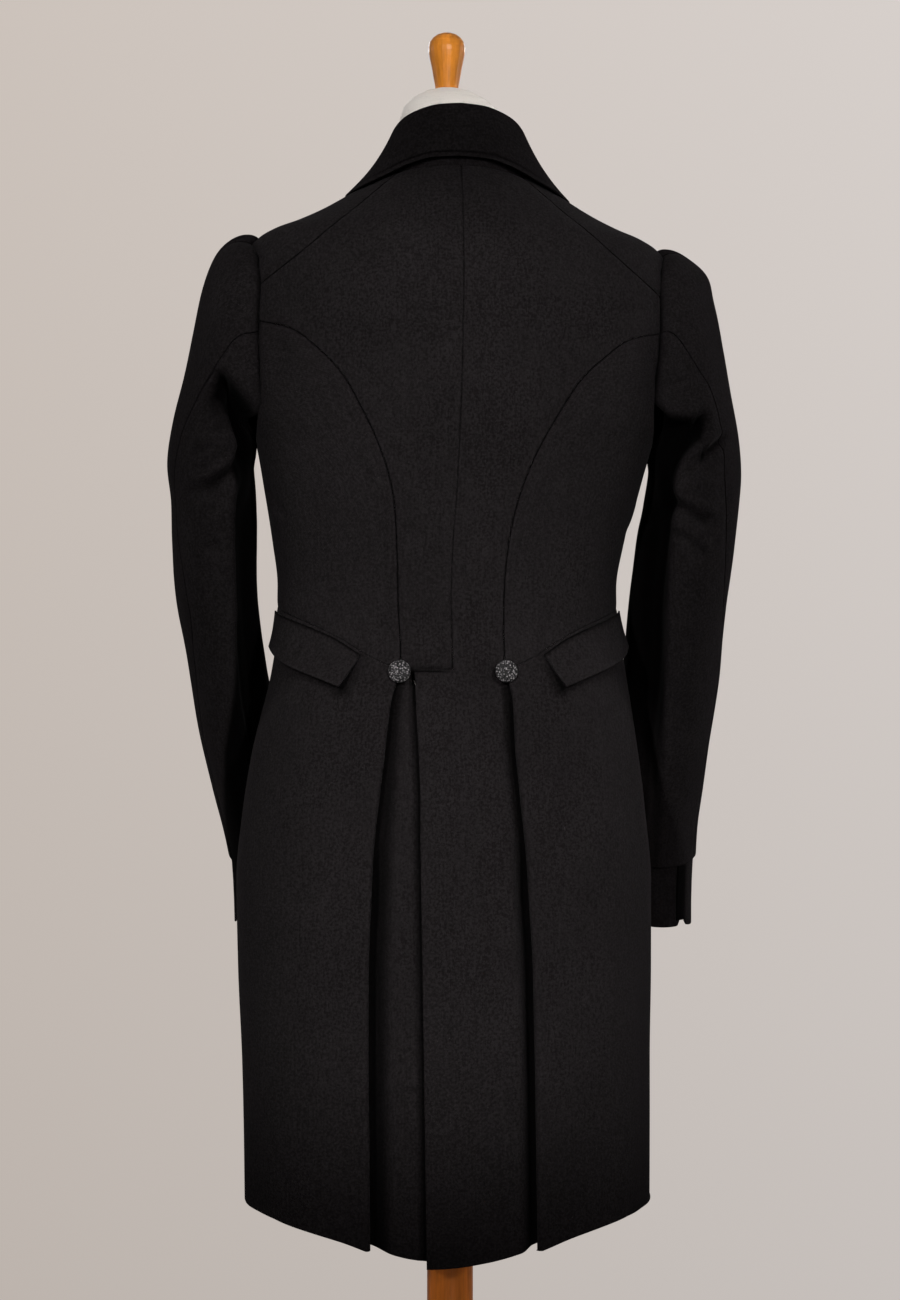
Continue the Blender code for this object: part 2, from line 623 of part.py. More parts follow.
def skirt(name, side):
    """Side skirt of the tail, its pleat edge folded under towards the side."""
    heights = np.array(SKIRT_ROWS)
    fold_x = PLEAT.read("across", heights)
    start = on_back(np.stack((fold_x + PLEAT_BEND[0][0], heights), axis=-1))
    hem = [(fold_x[-1] + PLEAT_BEND[0][0], PLEAT_HEM), *SKIRT_HEM]
    bottom = through([*on_back(through(hem, 5)), SKIRT_HEM_SIDE, SKIRT_FRONT[-1]], 9)
    top = np.concatenate((WAIST_EDGE, CUT_EDGE[1:]))
    top[0] = start[0]
    front = through(SKIRT_FRONT, len(heights))
    grid = coons(top, bottom, start, front)
    main = coat_point(grid[..., 0], grid[..., 1])
    columns = []
    for inset, depth in (PLEAT_BEND[1:] + PLEAT_UNDER)[::-1]:
        low = heights.copy()
        if (inset, depth) in PLEAT_UNDER:
            low[0] -= UNDER_DROP + inset / 4
        low[-1] += HEM_SLOPE * inset
        columns.append(coat_point(rear_angle(fold_x + inset, low), low, depth))
    points = np.concatenate((np.stack(columns, axis=1), main), axis=1)
    return cloth(name, worn(pull_in(points), side))


def flap(name, side):
    """Pocket flap sewn in the waist seam, standing off at its foot."""
    top = through([*on_back(FLAP_TOP), FLAP_TOP_END], 7)
    foot = through([*on_back(FLAP_FOOT), FLAP_FOOT_END], 7)
    down = np.linspace(0, 1, 4)[:, None]
    grid = (1 - down[..., None]) * top + down[..., None] * foot
    out = FLAP_SEAT + FLAP_STAND_OFF * down ** 1.3
    return cloth(name, worn(coat_point(grid[..., 0], grid[..., 1], out), side))


def ring_points(table, row, around, side):
    """Points of one ring of the sleeve or cuff at angles round it: 0 outside, 90 behind, 180 inside."""
    size = {name: table.column(name)[row] for name in table.columns}
    if side < 0:
        size["inner_x"] -= LEFT_ARM.read("inner", size["inner_z"])
        size["outer_x"] -= LEFT_ARM.read("outer", size["outer_z"])
    inner = np.array([size["inner_x"], size["y_mid"], size["inner_z"]])
    outer = np.array([size["outer_x"], size["y_mid"], size["outer_z"]])
    tilt = math.radians(size["tilt"])
    rear = np.array([0.0, -math.cos(tilt), -math.sin(tilt)]) * size["depth"] / 2
    around = np.radians(around)[:, None]
    return (inner + outer) / 2 + (outer - inner) / 2 * np.cos(around) + rear * np.sin(around)


def seam_angles(stations, hind):
    """The armhole's stations as angles round a ring whose hind-arm seam is at the angle hind."""
    stations = np.asarray(stations, float)
    fore = ARM_STATIONS[0]
    top = fore + (stations - fore) * (hind - fore) / (HIND_STATION - fore)
    under = hind + (stations - HIND_STATION) * (FORE_STATION - hind) / (FORE_STATION - HIND_STATION)
    return np.where(stations <= HIND_STATION, top, under)


def sleeve_grid(stations, side):
    """Rings of the sleeve from the armhole's own outline to the wrist, with its largest folds."""
    edge = armhole(stations)
    arm = coat_point(edge[:, 0], edge[:, 1])
    arm[:, 0] += ARMHOLE_GAP + UNDERARM_GAP * ease(np.cos(np.radians(stations)), 0.1, -0.75)
    plain = ring_points(SLEEVE, 0, seam_angles(stations, HIND_STATION), 1)
    rows = []
    for row, own in enumerate(SLEEVE.column("own")):
        around = seam_angles(stations, SLEEVE.column("hind")[row])
        points = ring_points(SLEEVE, row, around, side) + own * (arm - plain)
        middle = points.mean(axis=0)
        for fold_around, along, width, length, depth in FOLDS.rows:
            amount = depth * np.exp(-((around - fold_around) / width) ** 2 - ((row - along) / length) ** 2)
            inward = middle - points
            points = points + inward / np.linalg.norm(inward, axis=1, keepdims=True) * amount[:, None]
        rows.append(points)
    return np.array(rows)


def sleeve(side_name, side):
    """Top sleeve and under sleeve, between the hind-arm and the fore-arm seam."""
    top = [s for s in ARM_STATIONS if s <= HIND_STATION]
    under = [s for s in ARM_STATIONS if s >= HIND_STATION]
    for name, stations in (("top_sleeve", top), ("under_sleeve", under)):
        grid = pull_in(sleeve_grid(stations, side), "left right", SLEEVE_PULL)
        cloth(f"{name}_{side_name}", worn(grid, side))


def cuff(name, side):
    """Cuff under the sleeve's end, open in a slit at the hind-arm seam."""
    around = np.concatenate(([CUFF_SLIT / 2], np.linspace(19, 341, 15), [360 - CUFF_SLIT / 2]))
    rows = [ring_points(CUFF, row, hind + around, side) for row, hind in enumerate(CUFF.column("hind"))]
    return cloth(name, worn(np.array(rows), side))


def turned(name, profile, steps=24):
    """Solid turned about +Z from its outline, given from the top of the axis to its foot."""
    mesh = bpy.data.meshes.new(name)
    links = [(i, i + 1) for i in range(len(profile) - 1)]
    mesh.from_pydata([(radius * MM, 0.0, height * MM) for radius, height in profile], links, [])
    obj = bpy.data.objects.new(name, mesh)
    bpy.context.scene.collection.objects.link(obj)
    screw = obj.modifiers.new("turn", "SCREW")
    screw.steps = steps
    screw.render_steps = steps
    screw.use_merge_vertices = True
    screw.merge_threshold = 0.00005
    screw.use_normal_calculate = True
    return obj


def button(name, angle, height, out, side):
    """Covered domed button, flat behind, standing on the cloth."""
    crown = BUTTON_HEIGHT - BUTTON_EDGE
    dome = [(BUTTON_RADIUS * math.sin(sweep), BUTTON_EDGE + crown * math.cos(sweep))
            for sweep in np.radians([0, 28, 52, 72, 90])]
    dome += [(BUTTON_RADIUS - 1.0, 0.0), (0.0, 0.0)]
    obj = turned(name, dome, 20)
    obj.data.shade_smooth()
    place = worn(coat_point(angle, height, out), side)
    facing = worn(coat_point(angle, height, out + 1.0), side) - place
    facing /= np.linalg.norm(facing)
    obj.location = (place * MM).tolist()
    obj.rotation_euler = (0.0, math.acos(facing[2]), math.atan2(facing[1], facing[0]))
    return finish(obj, "thread", (0.06, 0.055, 0.058), 0.7)


def form_body():
    """Smooth limbless torso with its neck, inside the coat and clear of it."""
    around = np.linspace(0, 360, FORM_STEPS, endpoint=False)
    half = np.minimum(around, 360 - around)
    rings = []
    for height in FORM_RINGS:
        hip = FORM_HIP_DEPTH * ease(half, 90, 140) * ease(height, 1040, 960)
        inside = FORM_DEPTH.read("inside", height) + hip
        points = coat_point(half, np.full(FORM_STEPS, float(height)), -inside)
        if height < LEAN_FULL:
            points[:, 2] = height
        points[:, 0] = np.minimum(points[:, 0], ARM_PLATE)
        rings.append(points)
    for height, half_width, back, front, _ in FORM_NECK.rows:
        rings.append(around_axis(half, height, polar(half, half_width, back, front, NECK_SQUARE)))
    rings = np.array(rings)
    rings[..., 0] *= np.where(around > 180, -1.0, 1.0)
    rings[len(FORM_RINGS):, :, 0] -= FORM_NECK.column("to_left")[:, None]
    faces = grid_faces(len(rings), FORM_STEPS, closed=True)
    faces.append(tuple(range(FORM_STEPS))[::-1])
    faces.append(tuple(range((len(rings) - 1) * FORM_STEPS, len(rings) * FORM_STEPS)))
    obj = mesh_object("form_body", worn(rings), faces)
    obj.data.shade_smooth()
    obj.data.set_sharp_from_angle(angle=math.radians(50))
    return finish(obj, "canvas", (0.75, 0.7, 0.64), 0.85)


def stand():
    """Neck knob, pole and base."""
    neck = worn(np.array([0.0, BODY_AXIS_Y, NECK_TOP]))
    knob = as_wood(turned("neck_knob", KNOB, 24), KNOB_COLOUR)
    knob.location = (KNOB_ACROSS * MM, neck[1] * MM, 0.0)
    top = FORM_FOOT - STAND_GAP
    foot = BOSS_TOP + STAND_GAP
    bpy.ops.mesh.primitive_cylinder_add(
        vertices=32, radius=POLE_RADIUS * MM, depth=(top - foot) * MM,
        location=(0.0, 0.0, (top + foot) / 2 * MM))
    pole = bpy.context.object
    pole.name = "pole"
    as_wood(pole, STAND_COLOUR)
    as_wood(turned("stand_base", STAND_BASE, 40), STAND_COLOUR)


def build():
    for obj in list(bpy.data.objects):
        bpy.data.objects.remove(obj, do_unlink=True)
    bpy.context.scene.collection.children.link(bpy.data.collections.new(COLLECTION))
    for name, side in both_sides():
        back_piece(f"back_{name}", side)
        side_body(f"side_body_{name}", side)
        front_piece(f"front_{name}", side)
        lapel(f"lapel_{name}", side)
        skirt(f"skirt_{name}", side)
        flap(f"flap_{name}", side)
        sleeve(name, side)
        cuff(f"cuff_{name}", side)
        button(f"hip_button_{name}", float(rear_angle(*HIP_BUTTON)), HIP_BUTTON[1], HIP_BUTTON_SEAT, side)
    collar()
    for number, (height, seat) in enumerate(FRONT_BUTTONS, start=1):
        button(f"front_button_{number}", 180.0, height, seat, -1)
    form_body()
    stand()


build()
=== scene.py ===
"""Regency tailcoat on a dress form: fine cloth surfaces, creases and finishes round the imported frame.

Sizes are in millimetres in a straight, symmetrical frame, and become metres where a mesh is made.
The coat lies on one surface, coat_point(angle, height): angle 0 is the centre back, 90 the side and
180 the centre front.
"""

import math

import bpy
import numpy as np
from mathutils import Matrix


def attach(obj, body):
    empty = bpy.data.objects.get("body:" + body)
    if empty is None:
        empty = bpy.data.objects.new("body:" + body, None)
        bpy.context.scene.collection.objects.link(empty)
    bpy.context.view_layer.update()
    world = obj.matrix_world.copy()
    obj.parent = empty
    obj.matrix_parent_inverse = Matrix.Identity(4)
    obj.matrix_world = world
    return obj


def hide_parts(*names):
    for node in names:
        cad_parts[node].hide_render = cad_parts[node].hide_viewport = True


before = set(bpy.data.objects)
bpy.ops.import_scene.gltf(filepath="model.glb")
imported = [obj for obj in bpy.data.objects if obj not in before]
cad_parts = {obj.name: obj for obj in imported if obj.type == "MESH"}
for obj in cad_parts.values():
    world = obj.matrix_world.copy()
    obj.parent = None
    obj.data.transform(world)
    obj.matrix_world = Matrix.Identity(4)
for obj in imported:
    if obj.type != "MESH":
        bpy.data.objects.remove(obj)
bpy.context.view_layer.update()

bl_info = {
    "name": "Regency Tailcoat",
    "version": (1, 0, 0),
    "blender": (4, 5, 0),
    "location": "3D View > Sidebar > Tailcoat",
    "description": "Builds a regency tailcoat on its dress form",
    "category": "Add Mesh",
}

MM = 0.001
# The coat's two sides, as seen from behind: the sign that mirrors a piece, and the end of its name
TAGS = {-1: "left", 1: "right"}

# Cloth: its face and its lining out from the middle of the wall, and how high one layer lies on another
FACE = 0.9
LINING = -0.7
LAYER = 3.3
# The collar's roll, then its stand: how hollow, where its foot lies up and out from the neck seam, and in
# how many steps it is drawn
ROLL_RADIUS = 2.7
STAND_HOLLOW = 1.5
STAND_FOOT = (-2.2, -1.5)
STAND_STEPS = 15
# The fall: how full, the share lost at the sides and between which angles, and how clear of the coat
FALL_CROWN = 2.0
CROWN_LOSS = 1.6
CROWN_SIDES = (28.0, 75.0)
FALL_CLEARANCE = 1.5
# How much farther out the roll lies at the left and at the right, and the angles where that begins
ROLL_OUT = {-1.0: 3.0, 1.0: 2.5}
ROLL_OUT_START = (8.0, 60.0)
# The welt along the fall: places from its edge, widths and depths of its ridge and of its groove
WELT_RIDGE = (2.1, 1.5, 0.45)
WELT_GROOVE = (4.6, 0.9, 0.7)

# Heights of the coat
NAPE = 1488.0
ARMHOLE_TOP = 1423.0
ARMHOLE_FOOT = 1232.0
VENT_TOP = 1022.0

# Tails: the right one laps over the left below the vent's top, and both lie under the side skirts
PLEAT_DEPTH = 33.0
LEFT_LAP = 5.0
RIGHT_HEM = 481.0
LEFT_HEM = 485.5
PLEAT_HEM = 496.5
UNDERLAY_HEM = 509.0
# How deep the tails lie under the skirts, between which heights at the middle and at the pleat, and how far
# across that changes
TAIL_SINK = 6.6
SINK_START = 1036.0
SINK_FOOT = 985.0
SINK_FOOT_AT_PLEAT = 1014.0
SINK_ACROSS = (15.0, 44.0)
# The step of the lap, and where the tuck above it and the lap itself begin and end
LAP_STEP = 3.2
TUCK_START = (1046.0, 1028.0)
TUCK_END = (1027.0, 985.0)
TUCK_ACROSS = (30.0, 44.0)
LAP_START = (1027.0, 990.0)
LAP_ACROSS = 30.0
# Hollow behind each pleat: depth and heights where it begins, the same below the form, width, and how far
# its shade reaches at most
PLEAT_HOLLOW = 5.6
HOLLOW_START = (1016.0, 960.0)
FOOT_HOLLOW = 9.0
FOOT_HOLLOW_START = (880.0, 820.0)
HOLLOW_WIDTH = {-1: 24.0, 1: 16.0}
SHADE_WIDTH = {-1: 23.0, 1: 12.0}
VENT_SHADE_WIDTH = 9.0
VENT_STEP = 2.5
# The tack across the vent's top: end of its tuck from the middle, depth, and rows close round it
TACK_END = 37.5
TACK_DEPTH = 1.3
TACK_ROWS = [-1.5, -0.8, -0.45, 0.0, 0.45, 0.8, 1.5]
# Where the creases fade beside the pleat
CALM_HEIGHTS = (1010.0, 985.0)
CALM_ACROSS = (50.0, 80.0)

# How the coat sits on the form: it leans to one side above the waist, and is turned a little
LEAN_DEGREES = 1.6
TURN_DEGREES = 2.5
LEAN_START = 1060.0
LEAN_FULL = 1300.0

# Buttons: size, height of the straight edge, how far the rim turns in, depth of the thread's star
BUTTON_RADIUS = 10.4
BUTTON_HEIGHT = 5.2
BUTTON_EDGE = 1.4
BUTTON_TURN = 0.9
BUTTON_STAR = 0.16
# The waist buttons, across and up, and how far their backs lie out from the middle of the cloth
HIP_BUTTON = (48.6, 1020.0)
HIP_BUTTON_SEAT = 1.9
# The front buttons' heights, and how far their backs lie out
FRONT_BUTTONS = [(1250.0, 0.85), (1180.0, 1.3), (1110.0, 1.9)]


class Table:
    """Rows of sizes under named columns, read smoothly along the first column."""

    def __init__(self, columns, rows):
        self.columns = columns.split()
        self.rows = np.array(rows, float)

    def column(self, name):
        return self.rows[:, self.columns.index(name)]

    def read(self, name, at):
        return smooth(self.rows[:, 0], self.column(name), at)


def smooth(knots, values, at):
    """Cubic curve through the rows that never swings past them."""
    at = np.clip(np.asarray(at, float), knots[0], knots[-1])
    step = np.diff(knots)
    slope = np.diff(values) / step
    tangent = np.concatenate(([slope[0]], np.zeros(len(slope) - 1), [slope[-1]]))
    same = slope[:-1] * slope[1:] > 0
    pair = slope[:-1] + slope[1:]
    safe = np.where(same, pair, 1.0)
    tangent[1:-1] = np.where(same, 2 * slope[:-1] * slope[1:] / safe, 0.0)
    i = np.clip(np.searchsorted(knots, at, side="right") - 1, 0, len(step) - 1)
    t = (at - knots[i]) / step[i]
    return (values[i] * (1 + 2 * t) * (1 - t) ** 2 + values[i + 1] * t * t * (3 - 2 * t)
            + step[i] * (tangent[i] * t * (1 - t) ** 2 + tangent[i + 1] * t * t * (t - 1)))


def ease(value, start, stop):
    """0 before start, 1 after stop, a soft step between; stop may lie below start."""
    t = np.clip((np.asarray(value, float) - start) / (stop - start), 0, 1)
    return t * t * (3 - 2 * t)


# Level sections of the coat, from the hem up. square is the outline's exponent, 2 for an ellipse.
BODY = Table("height half_width back front square", [
    (440, 190, 141, 120, 2.3),
    (536, 191, 141, 120, 2.3),
    (651, 192, 139, 120, 2.3),
    (745, 195, 137, 120, 2.3),
    (822, 196, 134, 120, 2.3),
    (888, 190, 129, 118, 2.3),
    (944, 182, 121, 116, 2.3),
    (1020, 167, 104, 110, 2.3),
    (1060, 161, 98, 108, 2.3),
    (1100, 159.5, 99, 109, 2.3),
    (1140, 165, 103, 115, 2.3),
    (1182, 174.5, 110, 122, 2.35),
    (1232, 186.3, 118, 130, 2.4),
    (1250, 193, 121, 132, 2.4),
    (1290, 201, 126, 131, 2.4),
    (1330, 205, 128, 124, 2.4),
    (1370, 206, 126, 113, 2.35),
    (1385, 205, 123, 107, 2.33),
    (1400, 201.5, 119.8, 101, 2.3),
    (1412, 196.5, 116.3, 96, 2.25),
    (1422, 188, 113.2, 91, 2.2),
    (1430, 175, 110, 86, 2.2),
    (1438, 155, 106.8, 80, 2.15),
    (1450, 130, 101, 71, 2.1),
    (1465, 104.5, 92, 61, 2.1),
    (1488, 70, 72, 48, 2.1),
    (1510, 50, 58, 44, 2.1),
])
BODY_AXIS_Y = -5.0

# The armhole's distance from the middle of the body
ARM_EDGE = Table("height across", [
    (1232, 186.3), (1283, 183.5), (1345, 186), (1380, 185), (1405, 188.5), (1423, 196)])
# Round the armhole: 0 at the top, 90 behind, 180 under the arm, 270 in front
SHOULDER_STATION = 62
HIND_STATION = 83
UNDERARM_STATION = 180
FORE_STATION = 259
ARM_STATIONS = [-101, -80, -60, -40, -20, 0, 20, 41, 62, 83, 102, 121, 141, 161, 180, 199, 219, 239, 259]

# Where the coat's middle lies, from the hem up
CENTRE = Table("height across", [
    (440, -2), (745, -5), (860, -6), (944, -5), (1022, -2), (1087, -3.5), (1140, -2), (1182, 1), (1250, 4),
    (1330, 6), (1400, 7), (1490, 7)])

# Seams on the back, given across and up as seen from behind
SHOULDER_SEAM = [(58, 1482), (84, 1457), (116, 1428), (147, 1401)]
CURVED_SEAM = [(161, 1333), (145, 1322), (127, 1308), (108, 1288), (95, 1267), (83, 1245), (71, 1221),
               (57, 1178), (51, 1134), (49, 1101), (47.6, 1044)]
CURVED_SEAM_FOOT = [(47.6, 1023), (47.8, 1021)]
WAIST_SEAM = [(47.8, 1021), (60, 1028), (82, 1037), (107, 1053.5), (129, 1064), (151, 1074)]

# The pleat's fold and the tails
PLEAT = Table("height across", [
    (470, 78), (633, 77.8), (750, 76.5), (812, 73.5), (850, 71.5), (904, 66), (945, 61.5),
    (995, 56), (1010, 52), (1021, 50)])
# How far the right tail's edge passes the middle
RIGHT_LAP = Table("height across", [(470, 25), (750, 26), (900, 27), (945, 29), (990, 33), (1021, 35.5)])

# Rows of the tails, and the heights between which the underlay goes in behind the pleat
TAIL_ROWS = [1014.5, 1004, 990, 965, 930, 880, 820, 740, 650, 560, 499]
UNDERLAY_START = (1021, 1003)
SKIRT_ROWS = [1021, 1010, 990, 960, 920, 870, 810, 740, 660, 575, PLEAT_HEM]
# The skirt's cloth round the pleat: where it turns in, the bend's width, and depth when fully folded
BEND_START = 2.2
BEND_WIDTH = 2.8
FOLD_DEPTH = 5.4
FULL_FOLD = (1018.0, 940.0)

# The neck seam on the body, by angle
NECK_SEAM = Table("angle height", [
    (0, 1488), (30, 1485), (47, 1482), (90, 1478.5), (118, 1466), (137, 1448)])

# Half of the collar from the centre back round to its front end
COLLAR = Table("angle fold_x fold_y fold_z edge_x edge_y edge_z", [
    (0, 0, -71, 1546, 0, -80.5, 1496),
    (15, 19, -69, 1544.6, 24, -79.4, 1494.6),
    (30, 36, -62, 1540.2, 45.5, -74.5, 1489.2),
    (45, 48.5, -51, 1533.5, 66, -66, 1480.6),
    (60, 56, -38, 1524, 86, -55.5, 1472),
    (75, 60, -22, 1514.5, 99, -36, 1467.5),
    (90, 61.5, -4, 1506, 106, -8, 1466),
    (115, 62.5, 26, 1489, 108, 36, 1456),
    (137, 62.5, 63, 1458, 99, 68, 1432),
])

# Each row is one ring of the sleeve, from the armhole to the wrist. hind is where the hind-arm seam
# crosses it, tilt how far its hind point hangs lower, own how far the ring follows the armhole's own line.
SLEEVE = Table("ring inner_x inner_z outer_x outer_z depth y_mid tilt hind own", [
    (0, 186.3, 1232, 196, 1423, 132, -4, 0, 83, 1.0),
    (1, 188.9, 1225, 205, 1425.5, 136, -4, 0, 80, 0.85),
    (2, 189.2, 1218, 219, 1421.5, 140, -3, 0, 76, 0.6),
    (3, 188.9, 1210, 233, 1405, 143, -2, 0, 71, 0.35),
    (4, 188.2, 1202, 245, 1374, 145, -1, 0, 66, 0.15),
    (5, 187.2, 1193, 253.5, 1332, 145, 0, 0, 60, 0),
    (6, 186, 1183, 261.5, 1290, 144, 1, 0, 54, 0),
    (7, 184.5, 1171, 269.5, 1250, 142, 2, 0, 48, 0),
    (8, 182.5, 1157, 274, 1212, 140, 3, 0, 44, 0),
    (9, 181, 1140, 274, 1178, 138, 4, 1, 41, 0),
    (10, 179, 1117, 273.5, 1144, 137, 7, 3, 38, 0),
    (11, 176.5, 1093, 271, 1112, 136, 12, 5, 36, 0),
    (12, 174.5, 1067, 267.5, 1080, 134, 20, 9, 35, 0),
    (13, 173, 1040, 264.5, 1048, 131, 30, 13, 34, 0),
    (14, 172, 1012, 263, 1014, 128, 42, 16, 34, 0),
    (15, 171.5, 980, 261, 980, 124, 55, 18, 33, 0),
    (16, 172, 945, 258.5, 945, 119, 69, 19, 33, 0),
    (17, 173, 910, 256.5, 910, 114, 82, 18, 33, 0),
    (18, 174, 875, 254, 873, 110, 93, 17, 33, 0),
    (19, 175, 838, 253, 836, 106, 102, 16, 33, 0),
])
CUFF = Table("ring inner_x inner_z outer_x outer_z depth y_mid tilt hind own", [
    (0, 178.1, 853, 250.4, 851, 100, 98.5, 16.3, 33, 0),
    (1, 178.6, 834, 249.4, 832, 99, 103, 16, 33, 0),
    (2, 178.8, 815, 248.8, 813, 99, 107, 15, 33, 0),
    (3, 179, 795, 248.5, 793, 98.5, 110.5, 14, 33, 0),
    (4, 179.5, 776, 248.5, 774, 98, 113, 13, 33, 0),
])
CUFF_SLIT = 9.6
# The left arm hangs closer to the body: how far each side of the sleeve comes in
LEFT_ARM = Table("height inner outer", [
    (770, 31, 47), (835, 29, 46), (873, 24, 40), (913, 19, 34), (972, 9, 24), (1030, -2, 17), (1087, -3, 13),
    (1144, -1, 12), (1190, 0, 8), (1220, 0, 4), (1300, 0, 5), (1373, 0, 3), (1420, 0, 0)])

# The front's edge, by angle and height: the roll line, then down past the middle to the waist
FRONT_EDGE = [(137, 1448), (150, 1395), (165, 1330), (180, 1268)]
FRONT_END = 188.5
EDGE_TOP = 1246.0
EDGE_MIDDLE = 1180.0
NECK_ANGLES = (70, 90, 105, 120)
# Angles between which the right front goes under the left one
OVERLAP_START = (158, 170)
# The waist seam from the front to the side, and the skirt's front edge, by angle and height
FRONT_WAIST = 1070.0
WAIST_BEND = (155.0, 1072.0)
SIDE_SEAM_ANGLE = 96.0
SIDE_WAIST = 1083.0
CUT_IN = (128.0, 1077.0)
SKIRT_FRONT = [(128, 1077), (116, 1052), (101, 1026), (94, 1000), (92.5, 940), (92, 860), (92.5, 760),
               (93, 640), (93.5, 525)]
# The skirt's hem from the pleat to the side, across and up, then by angle and height
SKIRT_HEM = [(105, 504.5), (135, 513), (160, 519)]
SKIRT_HEM_SIDE = (90, 524)
# The folded-under cloth: how its hem slopes and its top drops, and between which heights
HEM_SLOPE = 0.34
UNDER_HEM = (520.0, 497.0)
UNDER_DROP = 6.0
UNDER_TOP = (1010.0, 1021.0)
# The lapel from the roll line to its edge, and how its turned cloth starts, lifts and fills
LAPEL_EDGE = [(121, 1409), (132, 1372), (150, 1322), (174, 1276)]
LAPEL_ROLL = 0.5
LAPEL_START = 0.12
LAPEL_LIFT = 0.2
LAPEL_PUFF = 1.2
LAPEL_ROWS = 120
LAPEL_TRIM = 10
# The flap's two long edges, given across and up, with their ends at the side by angle and height
FLAP_TOP = [(83.5, 1035.3), (107, 1051), (129, 1061.5), (151, 1071)]
FLAP_TOP_END = (86, 1077)
FLAP_FOOT = [(101, 1004), (126, 1015), (152, 1028)]
FLAP_FOOT_END = (83, 1042)
FLAP_SEAT = 2.7
FLAP_STAND_OFF = 5.6
# How much more the flap's inner corner stands off, and how far from the end; then the shade along the
# flap's foot and round its inner end: width, and darkness from one end to the other
FLAP_CORNER = (2.2, 22.0)
FOOT_SHADE = (3.0, 0.95, 0.5)
END_SHADE = (7.0, 0.25, 0.95)

# Grids: distances of the rows close to an edge, the width below which they close up, sizes of cells, and
# points along edges
NEAR_EDGE = [0, 0.3, 0.7, 1.2, 2.0, 3.4, 5.4, 8.2]
NARROW = 40.0
CELL = 3.3
FRONT_CELL = 4.0
SLEEVE_CELL = 2.6
FLAP_CELL = 2.0
CORNER_POINTS = 33
EDGE_POINTS = 60
BEND_STEPS = 15
# Millimetres of cloth to a degree round the body, and between two rings of the sleeve
DEGREE = 2.7
ARM_DEGREE = 1.1
RING_STEP = 34.0
# Shade painted into hollows of the tails and of the sleeves, where 1 is as dark as a seam's painted shade
HOLLOW_SHADE = 0.85
ARM_SHADE = 1.2


def coat_radius(angle, height):
    """Distance from the body's axis to the coat's rounded outline at a height, in the angle's direction."""
    half_width, back, front, square = (BODY.read(name, height) for name in BODY.columns[1:])
    sine = np.sin(np.radians(angle))
    cosine = np.cos(np.radians(angle))
    depth = np.where(cosine > 0, back, front)
    return (np.abs(sine / half_width) ** square + np.abs(cosine / depth) ** square) ** (-1 / square)


def body_surface(angle, height):
    """The coat's middle surface."""
    radius = coat_radius(angle, height)
    angle = np.radians(angle)
    return np.stack(np.broadcast_arrays(
        radius * np.sin(angle), BODY_AXIS_Y - radius * np.cos(angle), height), axis=-1)


def coat_point(angle, height, out=0.0):
    """Point of the coat's middle surface, moved outwards along the normal by out."""
    angle = np.asarray(angle, float)
    height = np.asarray(height, float)
    turn = body_surface(angle + 0.5, height) - body_surface(angle - 0.5, height)
    rise = body_surface(angle, height + 1.5) - body_surface(angle, height - 1.5)
    normal = np.cross(turn, rise)
    normal /= np.linalg.norm(normal, axis=-1, keepdims=True)
    return body_surface(angle, height) + normal * np.asarray(out, float)[..., None]


def rear_angle(across, height):
    """Angle of the back's point at a distance from the middle and a height."""
    half = BODY.read("half_width", height)
    square = BODY.read("square", height)
    inside = np.clip(1 - np.abs(across / half) ** square, 0, 1) ** (1 / square)
    return np.degrees(np.arctan2(across, BODY.read("back", height) * inside))


def signed_angle(across, height):
    """Angle of a point of the back, negative left of the middle."""
    return rear_angle(np.abs(across), height) * np.sign(across)


def armhole(station):
    """Angle and height of the armhole at a station round it."""
    station = np.asarray(station, float)
    middle = (ARMHOLE_TOP + ARMHOLE_FOOT) / 2
    height = middle + (ARMHOLE_TOP - ARMHOLE_FOOT) / 2 * np.cos(np.radians(station))
    across = ARM_EDGE.read("across", height)
    square = BODY.read("square", height)
    ratio = np.clip(across / BODY.read("half_width", height), 0, 1)
    inside = np.clip(1 - ratio ** square, 0, 1) ** (1 / square)
    behind = np.sin(np.radians(station)) > 0
    depth = np.where(behind, BODY.read("back", height), -BODY.read("front", height))
    return np.stack((np.degrees(np.arctan2(across, depth * inside)), height), axis=-1)


def worn(points, side=1):
    """Mirror to the side, then lean, shift and turn as the coat sits on the form."""
    x, y, z = np.moveaxis(np.asarray(points, float), -1, 0)
    x = x * side
    lean = math.tan(math.radians(LEAN_DEGREES)) * ease(z, LEAN_START, LEAN_FULL)
    turn = math.radians(TURN_DEGREES)
    x_turned = x * math.cos(turn) - y * math.sin(turn)
    y_turned = x * math.sin(turn) + y * math.cos(turn)
    return np.stack((x_turned + CENTRE.read("across", z), y_turned, z - lean * x), axis=-1)


def reach_of(points):
    """Distance along a line of points."""
    return np.concatenate(([0.0], np.cumsum(np.linalg.norm(np.diff(points, axis=0), axis=1))))


def reach_across(grid):
    """Distance along each row of a grid of points."""
    steps = np.linalg.norm(np.diff(grid, axis=1), axis=-1)
    return np.concatenate((np.zeros((len(grid), 1)), np.cumsum(steps, axis=1)), axis=1)


def reach_down(grid):
    """Distance down each column of a grid of points."""
    steps = np.linalg.norm(np.diff(grid, axis=0), axis=-1)
    return np.concatenate((np.zeros((1, grid.shape[1])), np.cumsum(steps, axis=0)))


def bell(distance, width):
    """1 at no distance, about a third at the width and nearly 0 at twice the width."""
    return np.exp(-(distance / width) ** 2)


def straight(knots, values, at):
    """Straight lines from knot to knot."""
    return np.interp(at, knots, values)


def points_at(knots, points, at, between=smooth):
    """Points of a line at other places along it, read smoothly or straight."""
    return np.stack([between(knots, points[:, k], at) for k in range(points.shape[1])], axis=-1)


